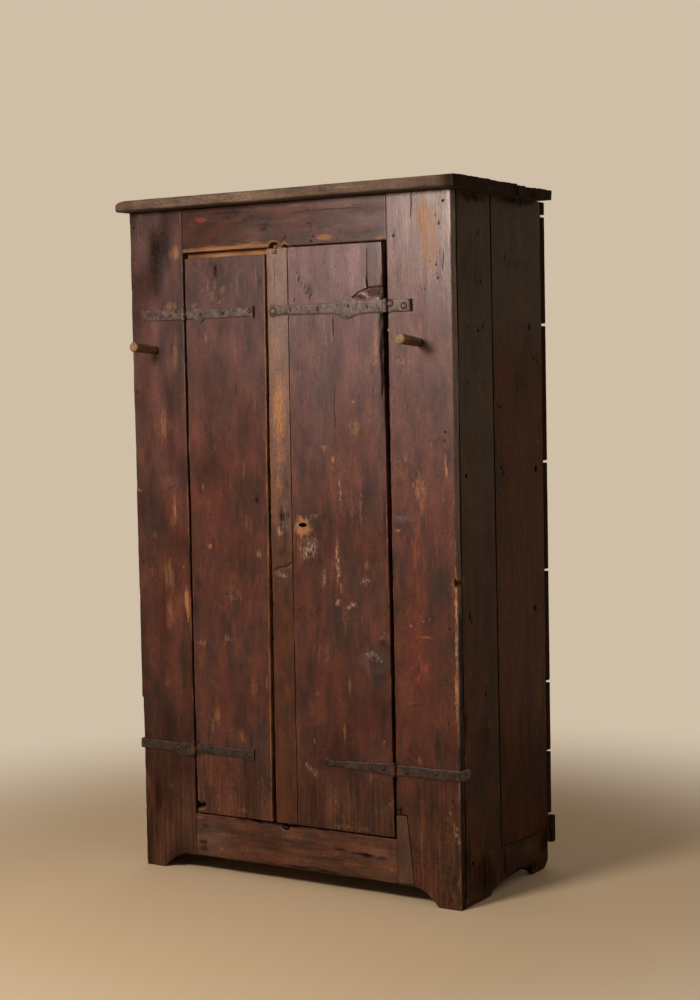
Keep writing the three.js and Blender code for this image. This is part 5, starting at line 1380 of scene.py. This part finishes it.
# Pegs. Two lengths of branch wood, 25 mm across, whittled to eight sides with a knife, are
# driven through the stiles and lean up a little. Coats and hands have polished them.
peg_wood = pine_finish("whittled_peg_wood", {
    "deep": "#2c1c13", "light": "#755138", "red": "#6d4630", "warm": "#845838", "haze": "#84705c",
    "dusk": "#3d2b20", "bare": "#b39468", "bare_ring": "#80603f", "grime": "#20160f"},
    roughness=(0.4, 0.58), ring_strength=0.4)
peg_tilt = math.radians(5)
peg_height = 1279.0
corners = 24
for node, seed in (("peg_left", 1), ("peg_right", 2)):
    low, high = own_box(node)
    middle = ((low[0] + high[0]) / 2, 12.0, peg_height)
    lengths = np.concatenate([[-16, -15.2, 0, 12.5], np.arange(16, 96, 4.0), [97, 98.6, 99.6, 100]])
    base_radius = np.interp(lengths, [-16, 12.6, 16.0, 97, 98.6, 99.6, 100],
                            [9.3, 9.4, 10.5, 12.4, 11.8, 10.6, 9.2])
    points, grain, grime, worn = [], [], [], []
    for s, r in zip(lengths, base_radius):
        for k in range(corners):
            turn = 2 * math.pi * k / corners + 0.04 * math.sin(s / 23 + seed)
            eighth = (turn + math.pi / 8) % (math.pi / 4) - math.pi / 8
            flat = math.cos(math.pi / 8) / math.cos(eighth)
            facet = int(((turn + math.pi / 8) % (2 * math.pi)) / (math.pi / 4))
            knife = 0.9 * float(soft_noise(s / 19, facet * 3.7, seed)) - 0.45
            radius = r * (flat * 0.85 + 0.15) + (knife if s > 13 else 0)
            side, up = radius * math.cos(turn), radius * math.sin(turn)
            points.append((middle[0] + side,
                           middle[1] - s * math.cos(peg_tilt) + up * math.sin(peg_tilt),
                           middle[2] + s * math.sin(peg_tilt) + up * math.cos(peg_tilt)))
            grain.append((side / 1000, up / 1000, s / 1000 + seed * 9))
            # Darker on the underside and at the foot against the stile: partly dirt, partly painted
            # shade.
            grime.append(0.55 * max(0, 1 - abs(s - 13) / 14) + (0.35 if up < -8 else 0.1))
            worn.append(0.35 + 0.35 * max(0, 1 - (100 - s) / 10))
    rows = len(lengths)
    faces = [[i * corners + k, i * corners + (k + 1) % corners,
              (i + 1) * corners + (k + 1) % corners, (i + 1) * corners + k]
             for i in range(rows - 1) for k in range(corners)]
    faces += [list(range(corners))[::-1], [(rows - 1) * corners + k for k in range(corners)]]
    mesh = bpy.data.meshes.new(f"whittled_{node}")
    mesh.from_pydata((np.array(points) / 1000 + front_middle).tolist(), [], faces)
    face_outward(mesh)
    set_vectors(mesh, "grain", grain)
    set_marks(mesh, grime=grime, worn=worn)
    smooth_over(mesh, 32)
    place_piece(f"whittled_{node}", mesh, peg_wood, "carcass", node)


# Nails. All of them are hand-forged iron, with rose heads of a few hammer blows, 7 to 11 mm
# across. They hold the straps and plates, the back planks, the side boards, the top and the lock.
def nail_head_tree():
    """Geometry Nodes that set a hammered head on each point, facing and sized by its attributes."""
    tree = bpy.data.node_groups.new("forged_nail_heads", "GeometryNodeTree")
    tree.interface.new_socket("Points", in_out="INPUT", socket_type="NodeSocketGeometry")
    for label, start in (("Head radius", 0.0052), ("Head height", 0.0036), ("Hammer marks", 0.0007)):
        socket = tree.interface.new_socket(label, in_out="INPUT", socket_type="NodeSocketFloat")
        socket.default_value = start
    seed_socket = tree.interface.new_socket("Seed", in_out="INPUT", socket_type="NodeSocketInt")
    seed_socket.default_value = 7
    tree.interface.new_socket("Iron", in_out="INPUT", socket_type="NodeSocketMaterial")
    tree.interface.new_socket("Heads", in_out="OUTPUT", socket_type="NodeSocketGeometry")
    given = add(tree, "NodeGroupInput")
    points = add(tree, "GeometryNodeMeshToPoints", {"Mesh": given.outputs["Points"]})
    crown_radius = add(tree, "ShaderNodeMath", {0: given.outputs["Head radius"], 1: 0.34},
                       operation="MULTIPLY")
    head = add(tree, "GeometryNodeMeshCone",
               {"Vertices": 9, "Side Segments": 2, "Fill Segments": 1,
                "Radius Top": crown_radius, "Radius Bottom": given.outputs["Head radius"],
                "Depth": given.outputs["Head height"]})
    facing = add(tree, "GeometryNodeInputNamedAttribute", {"Name": "facing"}, data_type="FLOAT_VECTOR")
    size = add(tree, "GeometryNodeInputNamedAttribute", {"Name": "size"}, data_type="FLOAT_VECTOR")
    turn = add(tree, "FunctionNodeRandomValue", {"Min": 0.0, "Max": 0.7, "Seed": given.outputs["Seed"]},
               data_type="FLOAT")
    number = [socket for socket in turn.outputs if socket.enabled][0]
    spin = add(tree, "ShaderNodeCombineXYZ", {2: number})
    spun = add(tree, "FunctionNodeEulerToRotation", {0: spin})
    aimed = add(tree, "FunctionNodeAlignRotationToVector", {"Vector": facing}, axis="Z")
    both = add(tree, "FunctionNodeRotateRotation", {0: aimed, 1: spun},
               rotation_space="LOCAL")
    placed = add(tree, "GeometryNodeInstanceOnPoints",
                 {"Points": points, "Instance": head,
                  "Rotation": both, "Scale": size})
    real = add(tree, "GeometryNodeRealizeInstances", {0: placed})
    where = add(tree, "GeometryNodeInputPosition")
    blows = add(tree, "ShaderNodeTexNoise", {"Vector": where, "Scale": 330.0, "Detail": 1.0},
                noise_dimensions="3D")
    centred = add(tree, "ShaderNodeVectorMath", {0: blows.outputs[1], 1: (-0.5, -0.5, -0.5)},
                  operation="ADD")
    moved = add(tree, "ShaderNodeVectorMath",
                {0: centred, "Scale": given.outputs["Hammer marks"]}, operation="SCALE")
    beaten = add(tree, "GeometryNodeSetPosition",
                 {"Geometry": real, "Offset": moved})
    finished = add(tree, "GeometryNodeSetMaterial", {"Geometry": beaten,
                                                    "Material": given.outputs["Iron"]})
    add(tree, "NodeGroupOutput", {0: finished})
    return tree


nail_tree = nail_head_tree()
# The nails' iron is brighter above half way up and darker below: partly rubbed and dulled, partly
# painted light and shade.
rubbed_and_lit_nail_iron = iron_finish("rubbed_nail_iron_and_painted_light", "#2a1f1c", "#8d776e", "#66402f", 0.35)
dull_nail_iron_and_painted_shade = iron_finish("dull_nail_iron_and_painted_shade", "#1c1512", "#584740", "#4c2a1d", 0.4)
rusted_nail_iron = iron_finish("rusted_nail_iron", "#120c09", "#33271f", "#3a1e14", 0.4,
                               roughness=(0.75, 0.9))
half_way_up = 700.0
front_way, back_way, up_way = (0.0, -1.0, 0.0), (0.0, 1.0, 0.0), (0.0, 0.0, 1.0)
on_iron = -3.4
on_slot = -3.7
on_wood = -0.2
on_back = 464.2
on_ledge = 43.2
on_front_slab, on_rear_slab = 1642.4, 1639.4


def set_nails(name, body, nails, iron):
    """Drives the nails of one body: each has a place, the way it faces, and a size to each side."""
    places, facings, sizes = zip(*nails)
    mesh = bpy.data.meshes.new(name)
    mesh.from_pydata([(np.array(place) / 1000 + front_middle).tolist() for place in places], [], [])
    set_vectors(mesh, "facing", facings)
    set_vectors(mesh, "size", sizes)
    marks = linked(name, mesh)
    heads = marks.modifiers.new("heads", "NODES")
    heads.node_group = nail_tree
    for socket in nail_tree.interface.items_tree:
        if socket.in_out == "INPUT" and socket.name == "Iron":
            heads[socket.identifier] = iron
    evaluated = marks.evaluated_get(bpy.context.evaluated_depsgraph_get())
    marks.data = bpy.data.meshes.new_from_object(evaluated)
    marks.modifiers.remove(heads)
    marks.data.name = name
    smooth_over(marks.data, 35)
    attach(marks, body)


def set_by_height(upper_name, lower_name, body, nails):
    """Drives a body's nails: brighter iron above half way up and darker below, partly rubbed and dulled,
    partly painted light and shade.
    """
    set_nails(upper_name, body, [nail for nail in nails if nail[0][2] > half_way_up], rubbed_and_lit_nail_iron)
    set_nails(lower_name, body, [nail for nail in nails if nail[0][2] <= half_way_up], dull_nail_iron_and_painted_shade)


def front_nails(places, y, height=1.0, wider=1.0):
    """Nails that face forward, from their x, z and sizes across and up."""
    return [((x, y, z), front_way, (wider * across, wider * up, height)) for x, z, across, up in places]


# Through the straps into the leaves: round heads, each on a flat dark disc of dirt and painted shadow
# round its foot, and old slots where the nail has rusted away, drawn as flat dark discs of rust and the
# painted shade of a hole.
strap_nails = {
    "left_leaf": [(-94, 1365, 0.8, 0.8), (-281, 307, 0.7, 0.7), (-244, 305, 1.15, 1.0),
                  (-123, 303.5, 1.0, 1.0)],
    "right_leaf": [(-27, 1363, 1.3, 1.3), (96, 1364.5, 0.8, 0.8), (95, 307.5, 0.85, 0.8),
                   (218, 306, 0.95, 1.15), (252, 307.5, 0.95, 1.1)]}
plate_nails = [
    (-371, 1369, 0.8, 0.8), (-394, 1361, 0.5, 0.5), (-333, 1362, 0.7, 0.7), (-311, 1372, 0.6, 0.8),
    (291, 1369, 1.45, 1.4), (328, 1363, 1.2, 1.2), (-337, 304, 1.0, 1.0), (-318, 309, 1.0, 0.9),
    (-420, 308, 0.8, 0.8), (316, 306, 0.9, 0.9), (392, 309, 0.85, 0.85), (436, 306, 0.7, 0.7)]
strap_slots = {
    "left_leaf": [(-237, 1363, 0.6, 0.7), (-172, 1363, 0.8, 0.9), (-86, 1366, 0.35, 1.5)],
    "right_leaf": [(23, 1363, 0.5, 0.4), (181, 1368, 0.4, 1.1), (231, 1365, 0.42, 1.2)]}
plate_slots = [(-329, 1362, 0.6, 0.9), (-352, 1360, 0.5, 0.5), (328, 1361, 0.4, 0.4)]
leaf_nails, dirt_and_shadow_discs = {}, {}
for leaf, places in strap_nails.items():
    dirt_and_shadow_discs[leaf] = (front_nails(places, on_iron, 0.12, 1.4)
                        + front_nails(strap_slots[leaf], on_slot, 0.12))
    leaf_nails[leaf] = front_nails(places, on_iron)
carcass_nails = front_nails(plate_nails, on_iron)
dirt_and_shadow_discs["carcass"] = (front_nails(plate_nails, on_iron, 0.1, 1.4)
                         + front_nails(plate_slots, on_slot, 0.12))
for body, marks in dirt_and_shadow_discs.items():
    set_nails(f"{body}_nail_dirt_and_shadow", body, marks, rusted_nail_iron)

# One round-headed nail in the broken notch of the upper rail, and small ones in the stiles.
carcass_nails += [((notch_place + 3, 2.0, 1512), front_way, (1.2, 1.2, 2.2))]
board_nails = []
for x, z in ((302, 1519), (430, 1590), (427, 1080), (430, 640), (431, 250), (-436, 1580), (-437, 1180),
             (-434, 760), (-436, 330), (-438, 110)):
    board_nails.append(((x, on_wood, z), front_way, (0.62, 0.62, 0.5)))

# The lower plates' ends are nailed to the sides, and the side boards to the floor and shelves.
for side_x, way in ((450.0, 1.0), (-450.0, -1.0)):
    side_way = (way, 0.0, 0.0)
    carcass_nails.append(((side_x + way * 3.4, 30.0, 307.0), side_way, (0.95, 0.95, 1.0)))
    for level in (134, 490, 838, 1186):
        for y in (66, 140, 240, 330, 400):
            shift = 8 * float(soft_noise(y / 7, level / 9, 3)) - 4
            board_nails.append(((side_x - way * 0.3, y, level + shift), side_way, (0.65, 0.65, 0.3)))

# The back planks are nailed twice at each end and once to every shelf; the top along its edges.
for number in range(1, 9):
    plank_low, plank_high = own_box(f"back_plank_{number}")
    tall = plank_high[2] - plank_low[2]
    rows = [0.5] if tall < 70 else [0.18, 0.82]
    for x in (-438, 438):
        for share in rows:
            board_nails.append(((x + 3 * math.sin(number * 2.1 + share), on_back,
                                 plank_low[2] + share * tall), back_way, (1.0, 1.0, 1.0)))
for level in (490.96, 838.4, 1185.84, 135.0):
    for x in (-260, -60, 150, 330):
        board_nails.append(((x + 8 * math.sin(level + x), on_back, level), back_way, (0.9, 0.9, 0.9)))
for x in (-436, -230, -20, 190, 436):
    board_nails.append(((x, 12 + 3 * math.sin(x), on_front_slab), up_way, (0.9, 0.9, 0.35)))
for x in (-438, 438):
    for y in (110, 215, 300, 400):
        height = on_front_slab if y < 250 else on_rear_slab
        board_nails.append(((x, y, height), up_way, (0.9, 0.9, 0.35)))
set_by_height("hinge_plate_nails", "lower_plate_nails", "carcass", carcass_nails)
set_nails("board_nails", "carcass", board_nails, rusted_nail_iron)

# The leaves' own nails: two rows through each ledge from the front, filled with wax and dark,
# their points clenched over behind, and the small nails of the lock, keeper and bolt plate.
for leaf, spans in (("left_leaf", [(-270, -90)]), ("right_leaf", [(-20, -20), (40, 240)])):
    for level in (1364, 307):
        for first, last in spans:
            for k in range(1 if first == last else 4):
                x = first + (last - first) * k / 3
                for offset in (-22, 22):
                    leaf_nails[leaf].append(((x + 4 * math.sin(k + offset), on_ledge, level + offset),
                                             back_way, (0.9, 0.6, 0.8)))
lock_low, lock_high = own_box("lock_case")
for x in (lock_low[0] + 7, lock_high[0] - 7):
    for z in (lock_low[2] + 7, lock_high[2] - 7):
        leaf_nails["right_leaf"].append(((x, 43.1, z), back_way, (0.7, 0.7, 0.8)))
keeper_low, keeper_high = own_box("lock_keeper")
for z in (keeper_low[2] + 3, keeper_high[2] - 3):
    leaf_nails["left_leaf"].append((((keeper_low[0] + keeper_high[0]) / 2, 26.1, z), back_way,
                                    (0.5, 0.5, 0.7)))
staple_low, staple_high = own_box("shoot_bolt_plate")
for x in (staple_low[0] + 4, staple_high[0] - 4):
    for z in (staple_low[2] + 4, (staple_low[2] + staple_high[2]) / 2, staple_high[2] - 4):
        leaf_nails["left_leaf"].append(((x, 25.1, z), back_way, (0.5, 0.5, 0.6)))
for leaf in ("left_leaf", "right_leaf"):
    set_by_height(f"{leaf}_forged_nails", f"{leaf}_lower_nails", leaf, leaf_nails[leaf])


# Setting: a plain warm floor that fades into the same tone all round, with soft studio light
# from the upper left of the front, as a window or a large lamp would give.
def shown_rays(tree):
    """One for the rays that show the setting, straight or in a gloss, and zero for its light."""
    rays = add(tree, "ShaderNodeLightPath").outputs
    shown = add(tree, "ShaderNodeMath", {0: rays["Is Camera Ray"], 1: rays["Is Glossy Ray"]},
                operation="ADD")
    return add(tree, "ShaderNodeMath", {0: shown, 1: rays["Is Transmission Ray"]},
               operation="ADD", use_clamp=True)


setting_tone = "#d0bfa7"
floor_material, tree = new_material("plain_warm_floor")
ground = add(tree, "ShaderNodeTexCoord").outputs["Object"]
far = add(tree, "ShaderNodeVectorMath", {0: ground}, operation="LENGTH").outputs["Value"]
fade = add(tree, "ShaderNodeMapRange", {0: far, 1: 0.75, 2: 2.1, 3: 0.0, 4: 1.0},
           interpolation_type="SMOOTHSTEP")
floor_shader = add(tree, "ShaderNodeBsdfPrincipled",
                   {"Base Color": colour("#d8c0a0"), "Roughness": 0.8})
glow = add(tree, "ShaderNodeEmission", {0: colour(setting_tone), 1: 1.0})
share = add(tree, "ShaderNodeMath", {0: shown_rays(tree), 1: fade}, operation="MULTIPLY")
blend = add(tree, "ShaderNodeMixShader", {0: share, 1: floor_shader, 2: glow})
add(tree, "ShaderNodeOutputMaterial", {0: blend})
floor_mesh = bpy.data.meshes.new("studio_floor")
reach = 14.0
floor_mesh.from_pydata([(-reach, -reach, 0), (reach, -reach, 0), (reach, reach, 0), (-reach, reach, 0)],
                       [], [(0, 1, 2, 3)])
floor_mesh.materials.append(floor_material)
studio_floor = linked("studio_floor", floor_mesh)

# The room: a tone behind everything, and a faint warm light that comes from above only.
world = bpy.data.worlds.new("soft_room")
world.use_nodes = True
bpy.context.scene.world = world
tree = world.node_tree
tree.nodes.clear()
sky_way = add(tree, "ShaderNodeTexCoord").outputs["Generated"]
sky_parts = add(tree, "ShaderNodeSeparateXYZ", {0: sky_way}).outputs
from_above = add(tree, "ShaderNodeMapRange", {0: sky_parts[2], 1: 0.04, 2: 0.5, 3: 0.0, 4: 0.2})
room_light = add(tree, "ShaderNodeBackground", {0: colour("#f1e0cc"), 1: from_above})
backdrop = add(tree, "ShaderNodeBackground", {0: colour(setting_tone), 1: 1.0})
blend = add(tree, "ShaderNodeMixShader", {0: shown_rays(tree), 1: room_light, 2: backdrop})
add(tree, "ShaderNodeOutputWorld", {0: blend})

for name, place, aim, size, power, tint in (
        ("window_light", (-0.26, -2.2, 1.94), (0.12, -0.15, 1.05), 0.62, 48.0, "#fff3e4"),
        ("room_fill", (3.0, -1.5, 2.2), (0.3, 0.0, 0.9), 2.0, 7.0, "#ffeedd"),
        ("room_behind", (-1.2, 3.3, 2.3), (0.0, 0.2, 0.8), 2.6, 15.0, "#ffeedd")):
    lamp = bpy.data.lights.new(name, "AREA")
    lamp.shape = "DISK"
    lamp.size = size
    lamp.energy = power
    lamp.color = colour(tint)[:3]
    light = linked(name, lamp)
    light.location = place
    light.rotation_euler = (Vector(aim) - Vector(place)).to_track_quat("-Z", "Y").to_euler()

# Camera at the photograph's angle: to the right of the cupboard and a little below its top.
lens = bpy.data.cameras.new("photograph_view")
lens.lens = 67.97
lens.sensor_fit = "VERTICAL"
lens.sensor_height = 36.0
lens.sensor_width = 36.0
lens.clip_end = 60.0
camera = linked("photograph_view", lens)
turned, tipped, rolled = (math.radians(angle) for angle in (32.12, 90 - 3.70, -1.10))
camera.matrix_world = (Matrix.Translation((2.4592, -3.8545, 1.2039)) @ Matrix.Rotation(turned, 4, "Z")
                       @ Matrix.Rotation(tipped, 4, "X") @ Matrix.Rotation(rolled, 4, "Z"))
bpy.context.scene.camera = camera
bpy.context.scene.view_settings.view_transform = "Standard"
